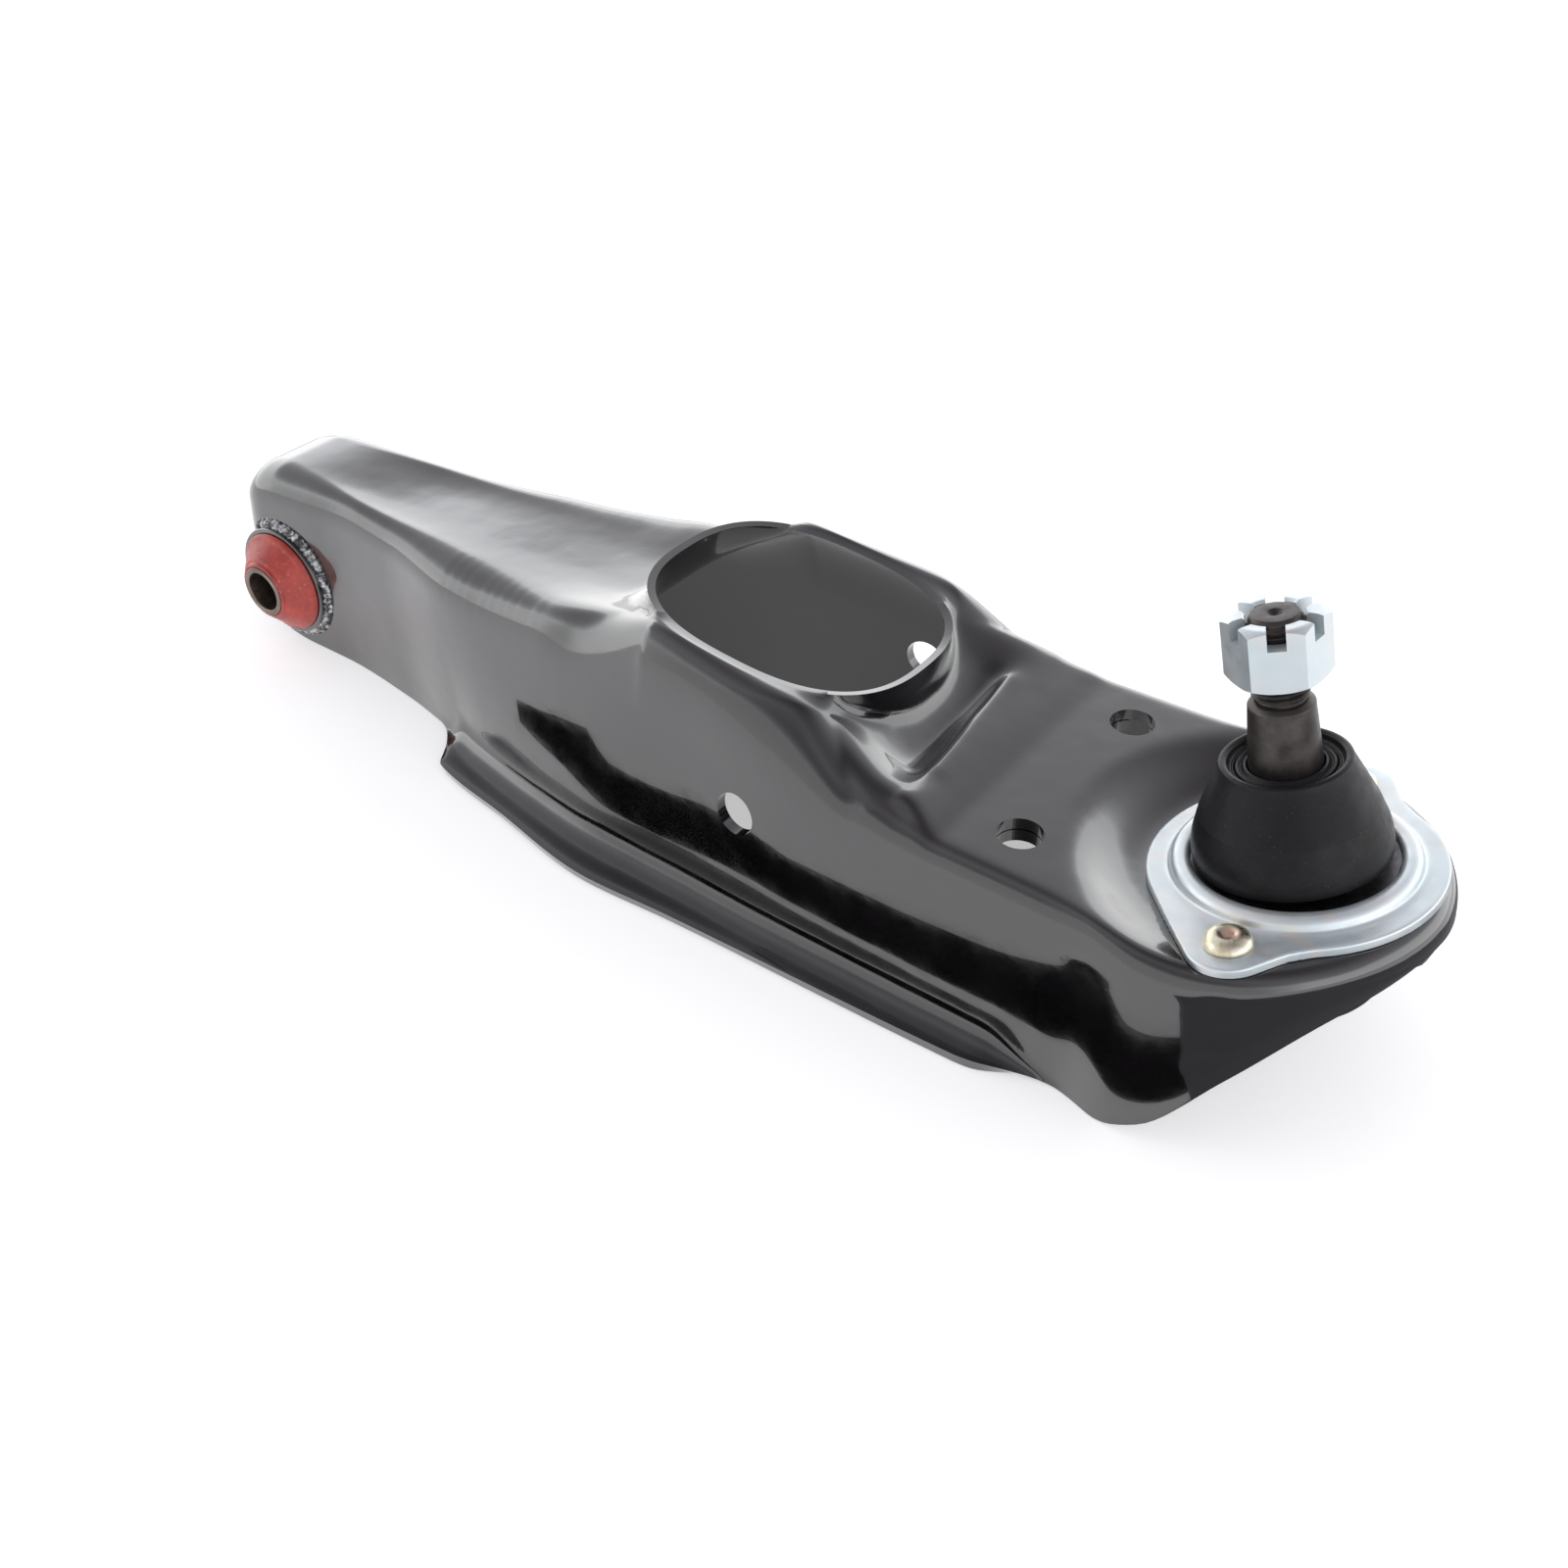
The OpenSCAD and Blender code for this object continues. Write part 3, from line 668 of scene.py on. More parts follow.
def build_shell():
    """The whole pressing: rows of points from nose to tip, a collar, and an inner face."""
    nose = [NOSE_CENTRE - NOSE_R * math.cos(a) for a in np.linspace(0, math.pi / 2, 13)]
    rows = [station_row(x) for x in nose]
    rows += [station_row(x) for x in np.linspace(NOSE_CENTRE, TIP_START, STATIONS)[1:]]
    rows += [tip_row(a) for a in np.linspace(0, math.pi / 2, 40)[1:]]
    grid = np.array(rows)
    count, across = grid.shape[:2]
    verts = list(grid.reshape(-1, 3))

    def at(i, j):
        return i * across + j + HALF_STEPS

    station_x = grid[:, HALF_STEPS, 0]
    first = int(np.searchsorted(station_x, OPENING_X - OPENING_A - 15))
    last = int(np.searchsorted(station_x, OPENING_X + OPENING_A + 8))
    side = PANEL_STEPS + 8
    faces = [[at(i, j), at(i + 1, j), at(i + 1, j + 1), at(i, j + 1)]
             for i in range(count - 1) for j in range(-HALF_STEPS, HALF_STEPS)
             if not (first <= i < last and -side <= j < side)]

    border = [(i, -side) for i in range(first, last)]
    border += [(last, j) for j in range(-side, side)]
    border += [(i, side) for i in range(last, first, -1)]
    border += [(first, j) for j in range(side, -side, -1)]
    faces += collar_faces(verts, [grid[i, j + HALF_STEPS] for i, j in border])
    faces += nose_faces(verts, grid[0, HALF_STEPS:, 1:], at)

    verts, faces = merged(np.array(verts, float), faces)
    rim_edges = open_edges(faces)
    edges, quads = graph(faces)
    held = np.zeros(len(verts), bool)
    held[np.unique(rim_edges)] = True
    verts = soften(verts, edges, held)
    for x, y, z, reach, depth in DENTS:
        near = np.linalg.norm(verts - [x, y, z], axis=1) / reach
        verts = verts - normals_of(verts, quads) * (depth * np.exp(-near ** 2 * 2))[:, None]

    rim = held & (opening_distance(verts[:, 0], verts[:, 1]) < 0.5) & (verts[:, 2] > 30)
    inside = inner_face(verts, edges, quads, held, rim)
    n = len(verts)
    faces += [[i + n for i in reversed(f)] for f in faces]
    faces += [[b, a, a + n, b + n] for a, b in rim_edges]
    return mesh_object("shell_pressing", np.vstack([verts, inside]), faces, sharp=SHELL_SHARP)


def cut_shell(shell):
    """The plate's seat, then the holes for tube, damper bolt, socket, strut rod and rivets."""
    seat = plate_prism("cutter_part", 1.0, -PLATE_T - 0.02, 14, ON_PLATE)
    boolean(shell, seat, sharp=SHELL_SHARP)
    cut = [cylinder(DAMPER_R, -90, 90, Matrix.Translation((DAMPER_X, 0, DAMPER_Z)) @ ALONG_Y),
           cylinder(TUBE_R + 0.1, -60, 60, ALONG_Y, 160),
           cylinder(SOCKET_HOLE_R, -22, 10, ON_PLATE, 128)]
    for y in (-STRUT_HALF, STRUT_HALF):
        cut.append(cylinder(STRUT_R, 0, 60, Matrix.Translation((STRUT_X, y, 0))))
    cut += [cylinder(RIVET_HOLE_R, -22, 10, place, 48) for place in RIVET_PLACES]
    boolean(shell, solid_cutter(cut), sharp=SHELL_SHARP)


# ---------------------------------------------------------------- materials
def links_of(material):
    return material.node_tree.nodes, material.node_tree.links


def new_material(name, **sockets):
    """A principled material; sockets are set on the shader itself."""
    material = bpy.data.materials.new(name)
    material.use_nodes = True
    shader = material.node_tree.nodes["Principled BSDF"]
    for socket, value in sockets.items():
        label = socket.replace("_", " ")
        shader.inputs[label].default_value = (*value, 1) if isinstance(value, tuple) else value
    return material, shader


def coords(material, scale=(1, 1, 1)):
    nodes, links = links_of(material)
    place = nodes.new("ShaderNodeTexCoord")
    mapping = nodes.new("ShaderNodeMapping")
    mapping.inputs["Scale"].default_value = scale
    links.new(place.outputs["Object"], mapping.inputs["Vector"])
    return mapping.outputs["Vector"]


def noise(material, scale, detail, vector=None):
    nodes, links = links_of(material)
    node = nodes.new("ShaderNodeTexNoise")
    node.inputs["Scale"].default_value = scale
    node.inputs["Detail"].default_value = detail
    links.new(vector or coords(material), node.inputs["Vector"])
    return node.outputs["Fac"]


def span(material, value, low, high, to_low=0.0, to_high=1.0):
    nodes, links = links_of(material)
    node = nodes.new("ShaderNodeMapRange")
    for label, number in zip(("From Min", "From Max", "To Min", "To Max"),
                             (low, high, to_low, to_high)):
        node.inputs[label].default_value = number
    links.new(value, node.inputs["Value"])
    return node.outputs["Result"]


def blend_colour(material, share, first, second):
    nodes, links = links_of(material)
    node = nodes.new("ShaderNodeMix")
    node.data_type = "RGBA"
    for label, colour in (("A", first), ("B", second)):
        socket = [i for i in node.inputs if i.name == label and i.type == "RGBA"][0]
        if isinstance(colour, tuple):
            socket.default_value = (*colour, 1)
        else:
            links.new(colour, socket)
    links.new(share, node.inputs["Factor"])
    return [o for o in node.outputs if o.type == "RGBA"][0]


def bump(material, shader, height, distance, under=None):
    nodes, links = links_of(material)
    node = nodes.new("ShaderNodeBump")
    node.inputs["Distance"].default_value = distance
    links.new(height, node.inputs["Height"])
    if under:
        links.new(under, node.inputs["Normal"])
    links.new(node.outputs["Normal"], shader.inputs["Normal"])
    return node.outputs["Normal"]


def attach(material, value, shader, socket):
    material.node_tree.links.new(value, shader.inputs[socket])


def uneven_roughness(m, s, scale, detail, low, high):
    attach(m, span(m, noise(m, scale, detail), 0.3, 0.7, low, high), s, "Roughness")


def black_paint(name="gloss_black_paint", peel=1.0):
    m, s = new_material(name, IOR=1.62, Coat_Weight=1.0, Coat_Roughness=0.035, Coat_IOR=1.6)
    dust = span(m, noise(m, 2600, 2), 0.70, 0.78)
    haze = span(m, noise(m, 34, 4), 0.35, 0.75, 0.0, 1.0)
    dark = blend_colour(m, haze, (0.0022, 0.0020, 0.0023), (0.0050, 0.0042, 0.0048))
    attach(m, blend_colour(m, dust, dark, (0.03, 0.03, 0.03)), s, "Base Color")
    attach(m, span(m, noise(m, 120, 4), 0.3, 0.75, 0.09, 0.2), s, "Roughness")
    slow = bump(m, s, noise(m, 46, 2), 0.00045 * peel)
    bump(m, s, noise(m, 620, 2), 0.000018 * peel, under=slow)
    return m


def zinc():
    m, s = new_material("zinc_plate", Metallic=0.72, IOR=1.5)
    cool = span(m, noise(m, 55, 3), 0.35, 0.68)
    warm = span(m, noise(m, 90, 2, vector=coords(m, (1, 1.6, 1))), 0.56, 0.72)
    colour = blend_colour(m, cool, (0.60, 0.67, 0.70), (0.70, 0.73, 0.74))
    attach(m, blend_colour(m, warm, colour, (0.69, 0.67, 0.64)), s, "Base Color")
    uneven_roughness(m, s, 240, 5, 0.32, 0.46)
    grain = bump(m, s, noise(m, 1500, 4), 0.000012)
    bump(m, s, noise(m, 140, 3), 0.00005, under=grain)
    return m


def yellow_zinc():
    m, s = new_material("yellow_zinc", Metallic=1.0)
    nodes, links = links_of(m)
    split = nodes.new("ShaderNodeSeparateXYZ")
    links.new(coords(m), split.inputs["Vector"])
    side = nodes.new("ShaderNodeMath")
    side.operation = "ABSOLUTE"
    links.new(split.outputs["Y"], side.inputs[0])
    flat = nodes.new("ShaderNodeCombineXYZ")
    links.new(split.outputs["X"], flat.inputs["X"])
    links.new(side.outputs["Value"], flat.inputs["Y"])
    away = nodes.new("ShaderNodeVectorMath")
    away.operation = "DISTANCE"
    away.inputs[1].default_value = (PLATE[0] * MM, RIVET_HALF * MM, 0)
    links.new(flat.outputs["Vector"], away.inputs[0])
    heart = span(m, away.outputs["Value"], 0.0017, 0.0027, 1, 0)
    patchy = span(m, noise(m, 420, 4), 0.35, 0.65)
    colour = blend_colour(m, patchy, (0.66, 0.58, 0.40), (0.80, 0.76, 0.62))
    attach(m, blend_colour(m, heart, colour, (0.74, 0.50, 0.40)), s, "Base Color")
    uneven_roughness(m, s, 700, 4, 0.25, 0.45)
    bump(m, s, noise(m, 900, 4), 0.00006)
    return m


def dull_steel(name, dark, light, rough=(0.3, 0.5), metallic=1.0, turned=None):
    m, s = new_material(name, Metallic=metallic)
    patchy = span(m, noise(m, 160, 5), 0.3, 0.7)
    attach(m, blend_colour(m, patchy, dark, light), s, "Base Color")
    uneven_roughness(m, s, 520, 4, *rough)
    grain = bump(m, s, noise(m, 1800, 4), 0.00003)
    if turned:
        bump(m, s, noise(m, 1, 4, vector=coords(m, turned)), 0.00003, under=grain)
    return m


def weld_metal():
    m, s = new_material("weld_metal", Metallic=0.8, Coat_Weight=0.3, Coat_Roughness=0.2)
    patchy = span(m, noise(m, 420, 5), 0.42, 0.62)
    attach(m, blend_colour(m, patchy, (0.05, 0.05, 0.052), (0.55, 0.56, 0.58)), s, "Base Color")
    uneven_roughness(m, s, 700, 4, 0.22, 0.5)
    bump(m, s, noise(m, 900, 5), 0.0003)
    return m


def red_bush():
    m, s = new_material("red_bush", IOR=1.5, Coat_Weight=0.15, Coat_Roughness=0.3)
    mottled = span(m, noise(m, 130, 4), 0.3, 0.72)
    dusty = span(m, noise(m, 800, 4), 0.6, 0.8)
    colour = blend_colour(m, mottled, (0.27, 0.026, 0.018), (0.46, 0.050, 0.034))
    attach(m, blend_colour(m, dusty, colour, (0.56, 0.17, 0.13)), s, "Base Color")
    uneven_roughness(m, s, 360, 4, 0.34, 0.52)
    bump(m, s, noise(m, 700, 4), 0.00008)
    return m


def boot_rubber():
    m, s = new_material("boot_rubber", IOR=1.45, Specular_IOR_Level=0.24)
    bloom = span(m, noise(m, 90, 4), 0.35, 0.75)
    colour = blend_colour(m, bloom, (0.005, 0.005, 0.006), (0.010, 0.010, 0.012))
    dust = span(m, noise(m, 2400, 2), 0.70, 0.78)
    attach(m, blend_colour(m, dust, colour, (0.08, 0.08, 0.08)), s, "Base Color")
    uneven_roughness(m, s, 300, 4, 0.3, 0.46)
    bump(m, s, noise(m, 1300, 3), 0.00003)
    return m


def plastic():
    m, s = new_material("bearing_plastic", IOR=1.48, Subsurface_Weight=0.1)
    attach(m, blend_colour(m, noise(m, 200, 3), (0.72, 0.70, 0.62), (0.80, 0.78, 0.70)),
           s, "Base Color")
    uneven_roughness(m, s, 500, 3, 0.35, 0.5)
    bump(m, s, noise(m, 900, 3), 0.00003)
    return m


MATERIALS = {
    "gloss_black_paint": black_paint(),
    "black_steel": black_paint("black_steel", 1.4),
    "weld_metal": weld_metal(),
    "red_bush": red_bush(),
    "sleeve_steel": dull_steel("sleeve_steel", (0.15, 0.115, 0.095), (0.27, 0.22, 0.19),
                               (0.34, 0.5), turned=(300, 4000, 300)),
    "zinc_plate": zinc(),
    "yellow_zinc": yellow_zinc(),
    "socket_steel": dull_steel("socket_steel", (0.07, 0.07, 0.075), (0.15, 0.15, 0.16)),
    "bearing_plastic": plastic(),
    "spring_steel": dull_steel("spring_steel", (0.12, 0.12, 0.14), (0.22, 0.22, 0.23)),
    "boot_rubber": boot_rubber(),
    "phosphated_steel": dull_steel("phosphated_steel", (0.030, 0.026, 0.025),
                                   (0.085, 0.075, 0.070), (0.3, 0.46), 0.75,
                                   turned=(260, 260, 2600)),
}
NODE_SLOTS = {s["node"]: s["material_slot"] for s in frame["record"]["subparts"]}


def dress(obj, slot):
    obj.data.materials.clear()
    obj.data.materials.append(MATERIALS[slot])


def finish_piece(obj, node, body="root", ride=True):
    """Gives a piece its node's material and slot, and lets it stand for the node on its body."""
    dress(obj, NODE_SLOTS[node])
    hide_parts(node)
    if ride:
        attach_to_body(obj, body)


KEPT_NODES = ("strut_reinforcement", "ball_socket_housing", "upper_ball_seat",
              "floating_ball_seat", "pressure_plate", "preload_spring", "socket_end_cap",
              "boot_base_ring", "boot_neck_ring")
for node in KEPT_NODES:
    carried = frame["nodes"][node]
    for place in carried.material_slots:
        place.material = MATERIALS[NODE_SLOTS[node]]

shell = build_shell()
cut_shell(shell)
finish_piece(shell, "arm_shell")


# ---------------------------------------------------------------- pivot end
WELD_SPAN = 276


def pivot_tube():
    bore = TUBE_R - 1.75
    profile = rounded([(bore, -TUBE_HALF), (TUBE_R, -TUBE_HALF), (TUBE_R, TUBE_HALF),
                       (bore, TUBE_HALF)], [0.4, 0.6, 0.6, 0.4])
    return lathe("pivot_tube", profile, ALONG_Y, 144)


def weld(name, node, side):
    """A rippled bead most of the way round the tube, against the outside of one wall."""
    low, high = size_of(node)
    rise, reach = high[2] - TUBE_R, high[1] - low[1]
    verts, faces = [], []
    steps, around = 420, 12
    angles = np.radians(np.linspace(-WELD_SPAN / 2, WELD_SPAN / 2, steps))
    wander = RNG.normal(0, 1, (steps, around + 1))
    for _ in range(2):
        wander = (np.roll(wander, 1, 0) + 2 * wander + np.roll(wander, -1, 0)) / 4
    for i, a in enumerate(angles):
        along = i / (steps - 1)
        swell = min(1.0, 16 * along, 16 * (1 - along)) ** 0.5
        coin = (i % 9) / 9
        for k in range(around + 1):
            b = math.pi / 2 * k / around
            size = swell * (0.80 + 0.16 * math.cos(math.pi * (coin - 0.3)) ** 2
                            + 0.055 * wander[i, k])
            r = TUBE_R - 0.4 + (rise + 0.2) * size * math.sin(b)
            y = NOSE_HALF - 0.4 + (reach + 0.2) * size * math.cos(b)
            verts.append((r * math.cos(a), side * y, r * math.sin(a)))
        verts.append(((TUBE_R - 0.8) * math.cos(a), side * (NOSE_HALF - 0.8),
                      (TUBE_R - 0.8) * math.sin(a)))
    ring = around + 2
    for i in range(steps - 1):
        for k in range(ring):
            m = (k + 1) % ring
            faces.append([i * ring + k, i * ring + m, (i + 1) * ring + m, (i + 1) * ring + k])
    faces.append(list(range(ring)))
    faces.append([(steps - 1) * ring + k for k in range(ring)])
    return mesh_object(name, verts, faces, sharp=60)


def bush_half(name, matrix):
    tip = SLEEVE_HALF - 0.4
    bore = SLEEVE_R + 0.05
    outer = TUBE_R - 1.8
    end = TUBE_HALF
    profile = rounded(
        [(bore, 0.1), (outer, 0.1), (outer, end), (outer + 0.25, end + 0.25),
         (outer - 0.35, end + 1.5), (outer - 1.6, end + 2.1), (11.3, tip - 1.5),
         (10.3, tip - 1.1), (10.0, tip - 0.1), (bore, tip)],
        [0.2, 0.4, 0, 0.5, 0.9, 0.8, 0.7, 0.4, 0.4, 0.3])
    return lathe(name, profile, matrix, 144, sharp=50)


def sleeve():
    bore = SLEEVE_R - 2.0
    profile = rounded([(bore, -SLEEVE_HALF), (SLEEVE_R, -SLEEVE_HALF), (SLEEVE_R, SLEEVE_HALF),
                       (bore, SLEEVE_HALF)], [0.5, 0.4, 0.4, 0.5])
    return lathe("sleeve_steel", profile, ALONG_Y, 128)


finish_piece(pivot_tube(), "pivot_eye_tube")
finish_piece(weld("weld_bead_near", "eye_weld_near", -1), "eye_weld_near")
finish_piece(weld("weld_bead_far", "eye_weld_far", 1), "eye_weld_far")
finish_piece(bush_half("bush_near", ALONG_MINUS_Y), "bush_half_near")
finish_piece(bush_half("bush_far", ALONG_Y), "bush_half_far")
finish_piece(sleeve(), "bush_sleeve", "sleeve")


# ---------------------------------------------------------------- ball joint
def flange_plate():
    """Plate with a raised ring round the boot, two ears and their rivet holes."""
    count = 288
    angle = np.arange(count) * 2 * math.pi / count
    reach = plate_reach(angle)
    under, foot = 29.25, 31.9
    ring = rounded([(under, -PLATE_T), (under, 0.85), (25.5, 0.85), (25.5, 2.6), (26.9, 3.5),
                    (28.9, 3.4), (30.2, 2.3), (30.8, 0.35), (foot, 0)],
                   [0, 0, 0.2, 0.9, 1.1, 1.2, 1.2, 1.0, 0], 5)
    loop = [(np.full(count, r), z) for r, z in ring]
    edge_r = 0.7
    loop += [(mix(foot, reach - edge_r, t), 0.0) for t in (0.2, 0.5, 0.8, 1.0)]
    loop += [(reach - edge_r + edge_r * math.sin(a), -edge_r + edge_r * math.cos(a))
             for a in np.radians([22, 45, 68, 90])]
    loop += [(reach, -PLATE_T + 0.3), (reach - 0.3, -PLATE_T)]
    loop += [(mix(reach - 0.3, under, t), -PLATE_T) for t in (0.25, 0.6)]
    verts = [(r[k] * math.cos(a), r[k] * math.sin(a), z)
             for r, z in loop for k, a in enumerate(angle)]
    n = len(loop)
    faces = [[i * count + k, i * count + (k + 1) % count,
              (i + 1) % n * count + (k + 1) % count, (i + 1) % n * count + k]
             for i in range(n) for k in range(count)]
    plate = mesh_object("flange_plate", verts, faces, ON_PLATE)
    holes = [cylinder(RIVET_HOLE_R, -9, 9, place, 48) for place in RIVET_PLACES]
    boolean(plate, solid_cutter(holes))
    return plate


def rivet(name, place, turn):
    tail = -PLATE_T - SHEET - 0.6
    profile = rounded(
        [(0, tail - 2.8), (4.4, tail - 2.8), (5.3, tail - 1.9), (5.3, tail - 1.1), (4, tail),
         (4, 0.05), (6.1, 0.05), (6.0, 1.0), (5.2, 2.3), (3.6, 3.05), (2.4, 3.05), (1.6, 2.75),
         (0, 2.75)],
        [0, 0.8, 0.8, 0.3, 0, 0, 0.3, 0.6, 0.8, 0.7, 0.4, 0.4, 0])
    return lathe(name, profile, place @ Matrix.Rotation(turn, 4, "Z"), 72, sharp=60)


def boot_part(name, profile, radii):
    return lathe(name, rounded(profile, radii, 6), ON_STUD, 160, sharp=50)


def stud():
    """Ball, neck, taper and a real helical thread."""
    end, ball, sides = 76.4, 14.0, 120
    first, last, pitch, depth = 54.4, 75.2, 1.5, 0.86
    turn = np.arange(sides) / sides

    def thread_radius(h):
        wave = np.abs(((h / pitch - turn) % 1.0) - 0.5) * 2
        lead = min(1.0, (h - first) / 0.8 + 0.1, (last - h) / 1.2 + 0.2)
        return 6.95 - depth * (1 - lead * (1 - np.clip(1.25 * wave - 0.12, 0, 1)))

    profile = [(0, -ball + 0.8)]
    start = math.acos((ball - 0.8) / ball)
    stop = math.pi - math.asin(7.4 / ball)
    profile += [(ball * math.sin(a), -ball * math.cos(a)) for a in np.linspace(start, stop, 60)]
    profile += rounded([(7.0, 13.2), (7.0, 18), (9.0, 28), (9.0, 36.5), (8.05, 52.2),
                        (8.05, 52.9), (6.9, 53.9), (6.2, 54.1)],
                       [0.5, 3, 3, 1.5, 0.3, 0.5, 0.3, 0.2], 5)
    profile += [(thread_radius(h), h) for h in np.arange(first, last, pitch / 14)]
    profile += rounded([(6.2, last + 0.1), (6.15, last + 0.3), (5.6, end), (1.9, end),
                        (0.5, end - 1.5), (0, end - 1.6)], [0, 0.1, 0.3, 0.2, 0.2, 0], 3)
    return lathe("stud_threaded", profile, ON_STUD, sides, 50)


def castle_nut():
    """Hexagon with turned corners, a chamfered bore and six slots, cut as three pairs."""
    height, corner, base = 16.0, 11 / math.cos(math.pi / 6), 60.4
    place = ON_STUD @ Matrix.Rotation(math.radians(24.6), 4, "Z") @ Matrix.Translation((0, 0, base))
    nut = lathe("nut_castellated", [(0, 0), (corner, 0), (corner, height), (0, height)],
                place, 6)
    skin = rounded([(0, 0), (10.9, 0), (12.9, 1.15), (12.9, height - 1.5), (10.6, height),
                    (0, height)], [0, 0.6, 0.3, 0.3, 0.8, 0], 4)
    boolean(nut, lathe("cutter_part", skin, place, 144), "INTERSECT")
    bore = lathe("cutter_part", [(0, -1), (7.75, -1), (7.75, -0.01), (7.04, 0.7),
                                 (7.04, height - 0.7), (7.75, height + 0.01),
                                 (7.75, height + 1), (0, height + 1)], place, 96)
    boolean(nut, bore)
    for turn in (30, 90, 150):
        slot = mesh_object("cutter_part", [
            (x, y, z) for z in (height - 5, height + 2) for x, y in
            ((-20, -2.15), (20, -2.15), (20, 2.15), (-20, 2.15))],
            [[3, 2, 1, 0], [4, 5, 6, 7], [0, 1, 5, 4], [1, 2, 6, 5], [2, 3, 7, 6], [3, 0, 4, 7]],
            place @ Matrix.Rotation(math.radians(turn), 4, "Z"))
        boolean(nut, slot)
    edge = nut.modifiers.new("edge", "BEVEL")
    edge.width = 0.22 * MM
    edge.segments = 2
    edge.limit_method = "ANGLE"
    edge.angle_limit = math.radians(32)
    edge.use_clamp_overlap = True
    apply_modifiers(nut, 40)
    return nut


finish_piece(flange_plate(), "ball_joint_flange")
finish_piece(rivet("rivet_near", RIVET_PLACES[0], 0.3), "flange_rivets")
finish_piece(rivet("rivet_far", RIVET_PLACES[1], 1.2), "flange_rivets")
finish_piece(stud(), "ball_stud", "stud")
finish_piece(castle_nut(), "castle_nut", "nut")

SEAM = 24.0
SEAM_R, SEAM_IN = 22.0, 19.9
skirt = boot_part("boot_skirt", [
    (22.6, 11.3), (24.2, 11.3), (24.45, 13.5), (24.4, 15.6), (23.9, 18.5), (SEAM_R, SEAM),
    (SEAM_IN, SEAM), (20.8, 21.8), (22.3, 17.5), (22.5, 14.5)],
    [0.4, 0.6, 0.8, 1.5, 2, 0, 0, 1, 2, 1])
crown = boot_part("boot_crown", [
    (SEAM_IN, SEAM), (SEAM_R, SEAM), (20.1, 28.2), (17.3, 34.2), (16.3, 36.4), (15.9, 37.7),
    (15.0, 38.0), (14.0, 37.6), (13.6, 36.2), (13.1, 35.6), (12.6, 36.0), (12.25, 35.4),
    (12.25, 30.5), (14.8, 30.5), (17.9, 27.6)],
    [0, 0, 3, 2, 0.6, 0.6, 0.6, 0.5, 0.4, 0.3, 0.3, 0.2, 0.3, 1.5, 1.5])
for part in (skirt, crown):
    finish_piece(part, "dust_boot", ride=False)


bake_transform(skirt)
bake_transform(crown)

lip = boot_part("boot_lip_ribbed", [
    (9.15, 33.6), (12.2, 33.6), (12.2, 35.9), (11.7, 36.3), (11.2, 35.9), (10.9, 35.4),
    (10.4, 35.9), (10.0, 36.5), (9.5, 36.6), (9.15, 36.0)],
    [0.1, 0.2, 0.3, 0.3, 0.3, 0.3, 0.3, 0.3, 0.3, 0.2])
finish_piece(lip, "boot_lip", "boot_neck")


# ---------------------------------------------------------------- stage, light and camera
def card(name, outline, z, material):
    """A flat stage card with the given outline, in metres."""
    mesh = bpy.data.meshes.new(name)
    mesh.from_pydata([(x, y, z) for x, y in outline], [], [tuple(range(len(outline)))])
    mesh.materials.append(material)
    obj = bpy.data.objects.new(name, mesh)
    bpy.context.scene.collection.objects.link(obj)
    return obj


def floor_material():
    m, s = new_material("pale_floor", Roughness=0.9, Emission_Color=(1, 1, 1),
                        Emission_Strength=0.42)
    attach(m, blend_colour(m, noise(m, 3, 3), (0.82, 0.82, 0.82), (0.86, 0.86, 0.86)),
           s, "Base Color")
    return m


def flag_material(name, dark, light):
    m, s = new_material(name, Roughness=1.0, Specular_IOR_Level=0.0)
    attach(m, blend_colour(m, noise(m, 8, 2), dark, light), s, "Base Color")
    return m


# Cards on the floor, seen only in the paint: a black one by the near wall, a grey one off the tip.
NEAR_FLAG = [(0.066, -0.078), (0.090, -0.104), (0.125, -0.092), (0.211, -0.090),
             (0.288, -0.101), (0.372, -0.106), (0.372, -0.0665), (0.085, -0.0665)]
END_CARD = [(0.372, -0.20), (0.60, -0.20), (0.60, 0.16), (0.372, 0.16)]
FLOOR_Z = CAD_LOW[2] - 0.0004
card("studio_floor", [(-6, -6), (6, -6), (6, 6), (-6, 6)], FLOOR_Z, floor_material())
BLACK_CARD = flag_material("black_card", (0.002, 0.002, 0.002), (0.004, 0.004, 0.004))
GREY_CARD = flag_material("grey_card", (0.20, 0.20, 0.205), (0.28, 0.28, 0.29))
for flag in (card("black_flag_card", NEAR_FLAG, FLOOR_Z + 0.0002, BLACK_CARD),
             card("grey_flag_card", END_CARD, FLOOR_Z + 0.0002, GREY_CARD)):
    flag.visible_camera = False
    flag.visible_diffuse = False
    flag.visible_shadow = False
    flag.visible_transmission = False


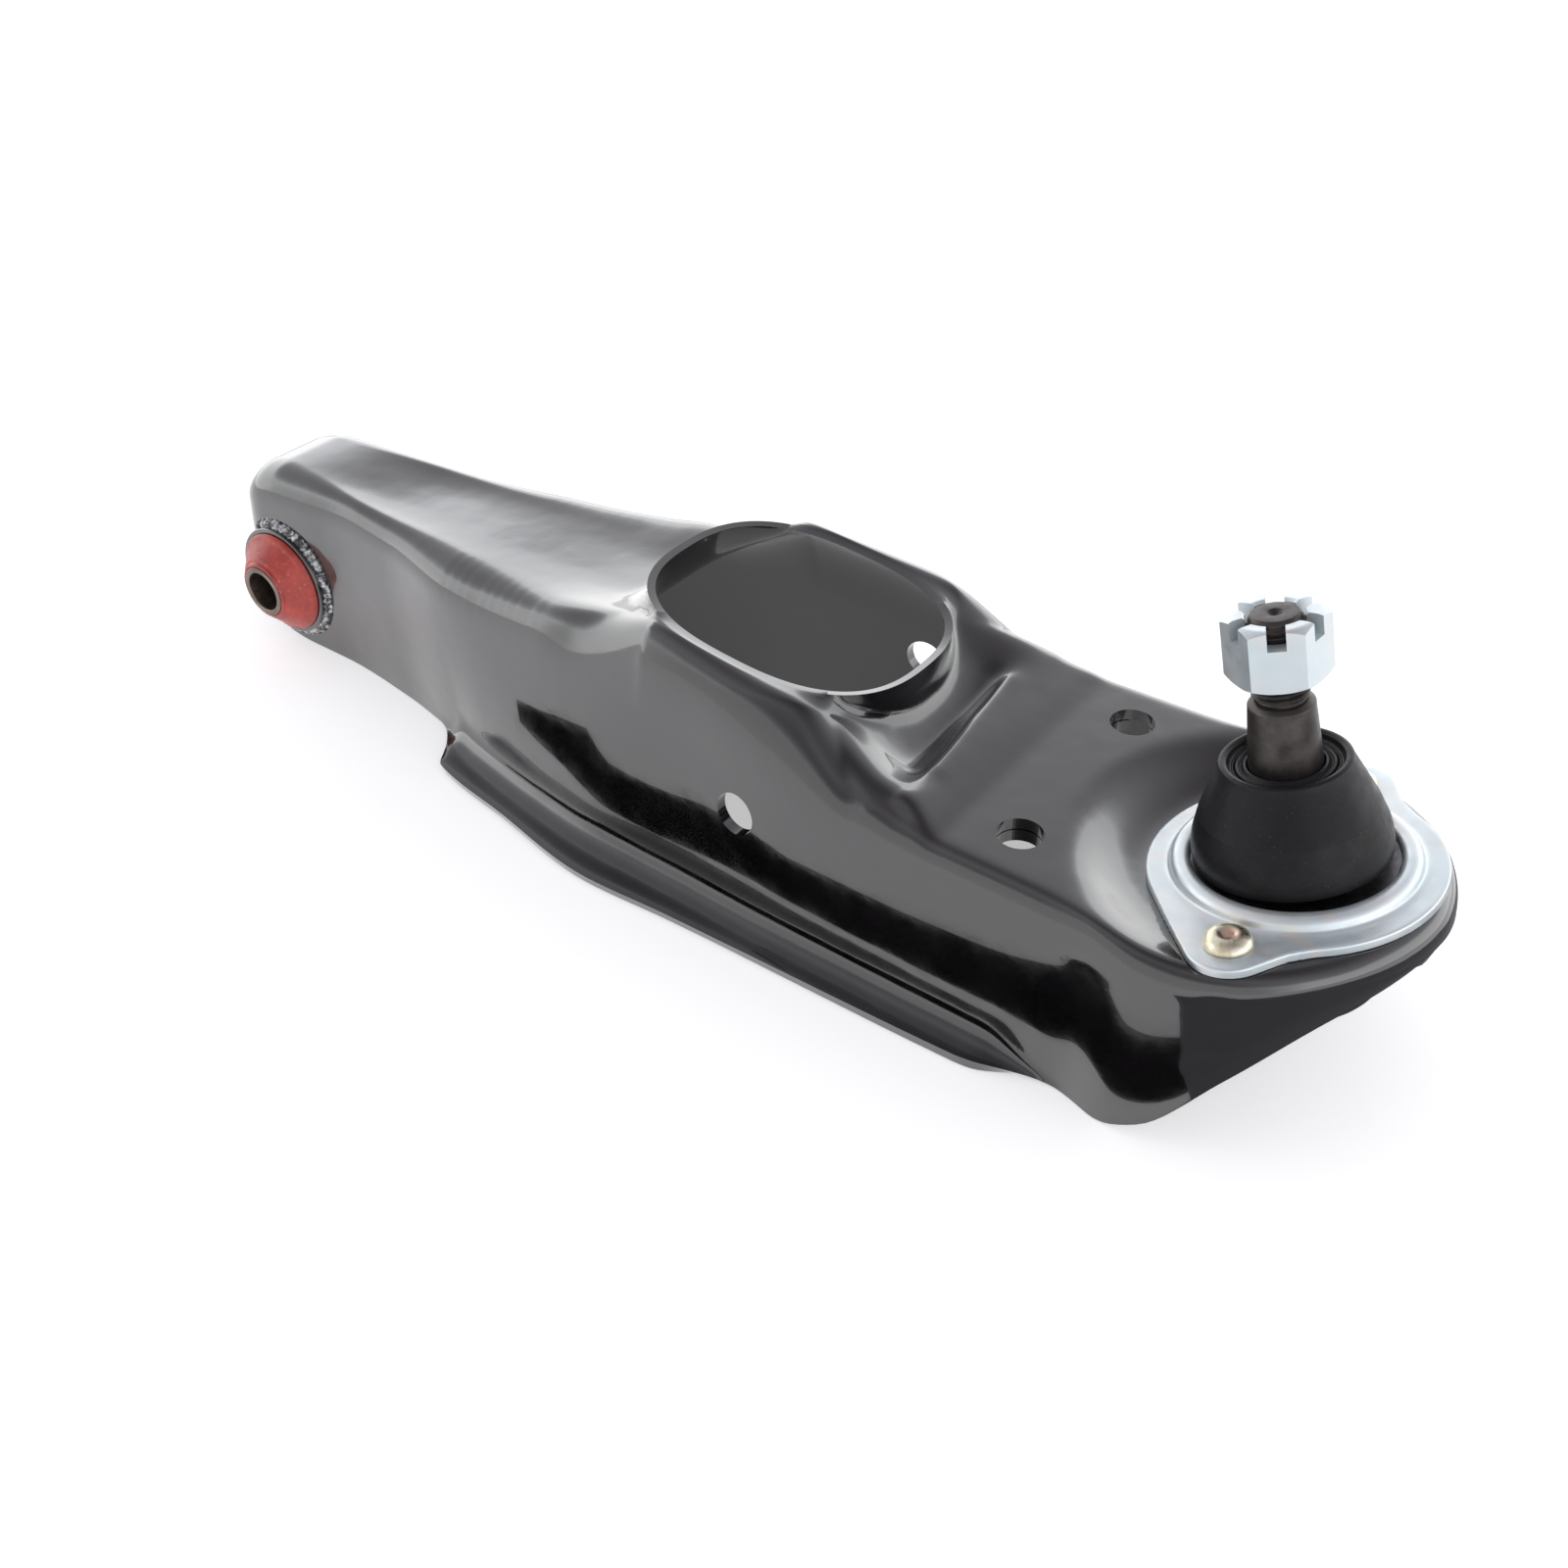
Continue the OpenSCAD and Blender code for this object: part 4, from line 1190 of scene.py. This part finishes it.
def studio_world():
    world = bpy.data.worlds.new("studio_world")
    world.use_nodes = True
    nodes, links = links_of(world)
    place = nodes.new("ShaderNodeTexCoord")
    split = nodes.new("ShaderNodeSeparateXYZ")
    ramp = nodes.new("ShaderNodeValToRGB")
    links.new(place.outputs["Generated"], split.inputs["Vector"])
    links.new(split.outputs["Z"], ramp.inputs["Fac"])
    stops = [(0.0, (0.92, 0.92, 0.92)), (0.30, (0.87, 0.88, 0.89)),
             (0.40, (0.89, 0.90, 0.93)), (0.455, (0.60, 0.61, 0.63)),
             (0.54, (0.39, 0.39, 0.41)), (0.68, (0.31, 0.31, 0.33)),
             (0.82, (0.24, 0.23, 0.25)), (1.0, (0.10, 0.095, 0.105))]
    while len(ramp.color_ramp.elements) < len(stops):
        ramp.color_ramp.elements.new(0.5)
    for element, (at, colour) in zip(ramp.color_ramp.elements, stops):
        element.position = at
        element.color = (*colour, 1)
    links.new(ramp.outputs["Color"], nodes["Background"].inputs["Color"])
    # Dimmer straight towards the near side, which the near wall reflects
    strength = span(world, split.outputs["Y"], -0.78, -0.52, 1.15, 2.4)
    links.new(strength, nodes["Background"].inputs["Strength"])
    return world


def softbox(name, place, aim, size, power):
    """A large soft light that doesn't show in the paint."""
    light = bpy.data.lights.new(name, "AREA")
    light.shape = "RECTANGLE"
    light.size, light.size_y = size
    light.energy = power
    obj = bpy.data.objects.new(name, light)
    obj.location = place
    obj.rotation_euler = (Vector(aim) - Vector(place)).to_track_quat("-Z", "Y").to_euler()
    obj.visible_glossy = False
    bpy.context.scene.collection.objects.link(obj)


CENTRE = (CAD_LOW + CAD_HIGH) / 2
bpy.context.scene.world = studio_world()
softbox("overhead_soft", CENTRE + Vector((-0.1, 0.1, 1.5)), CENTRE, (1.6, 1.6), 2)
softbox("side_soft", CENTRE + Vector((0.9, -0.5, 0.9)), CENTRE, (0.7, 0.7), 1.5)

CAMERA_PLACE = Vector((0.4584, -0.3422, 0.3131))
CAMERA_AZIMUTH, CAMERA_ELEVATION, CAMERA_ROLL = 37.0, 37.4, -0.36
CAMERA_LENS = 39.88


def camera():
    data = bpy.data.cameras.new("photo_camera")
    data.lens = CAMERA_LENS
    data.sensor_width = 36
    data.clip_start = 0.01
    obj = bpy.data.objects.new("photo_camera", data)
    azimuth, elevation = math.radians(CAMERA_AZIMUTH), math.radians(CAMERA_ELEVATION)
    towards = Vector((-math.sin(azimuth) * math.cos(elevation),
                      math.cos(azimuth) * math.cos(elevation), -math.sin(elevation)))
    turn = towards.to_track_quat("-Z", "Y").to_matrix().to_4x4()
    roll = Matrix.Rotation(math.radians(CAMERA_ROLL), 4, "Z")
    obj.matrix_world = Matrix.Translation(CAMERA_PLACE) @ turn @ roll
    bpy.context.scene.collection.objects.link(obj)
    bpy.context.scene.camera = obj


camera()
bpy.context.scene.view_settings.view_transform = "Standard"

bpy.context.view_layer.update()
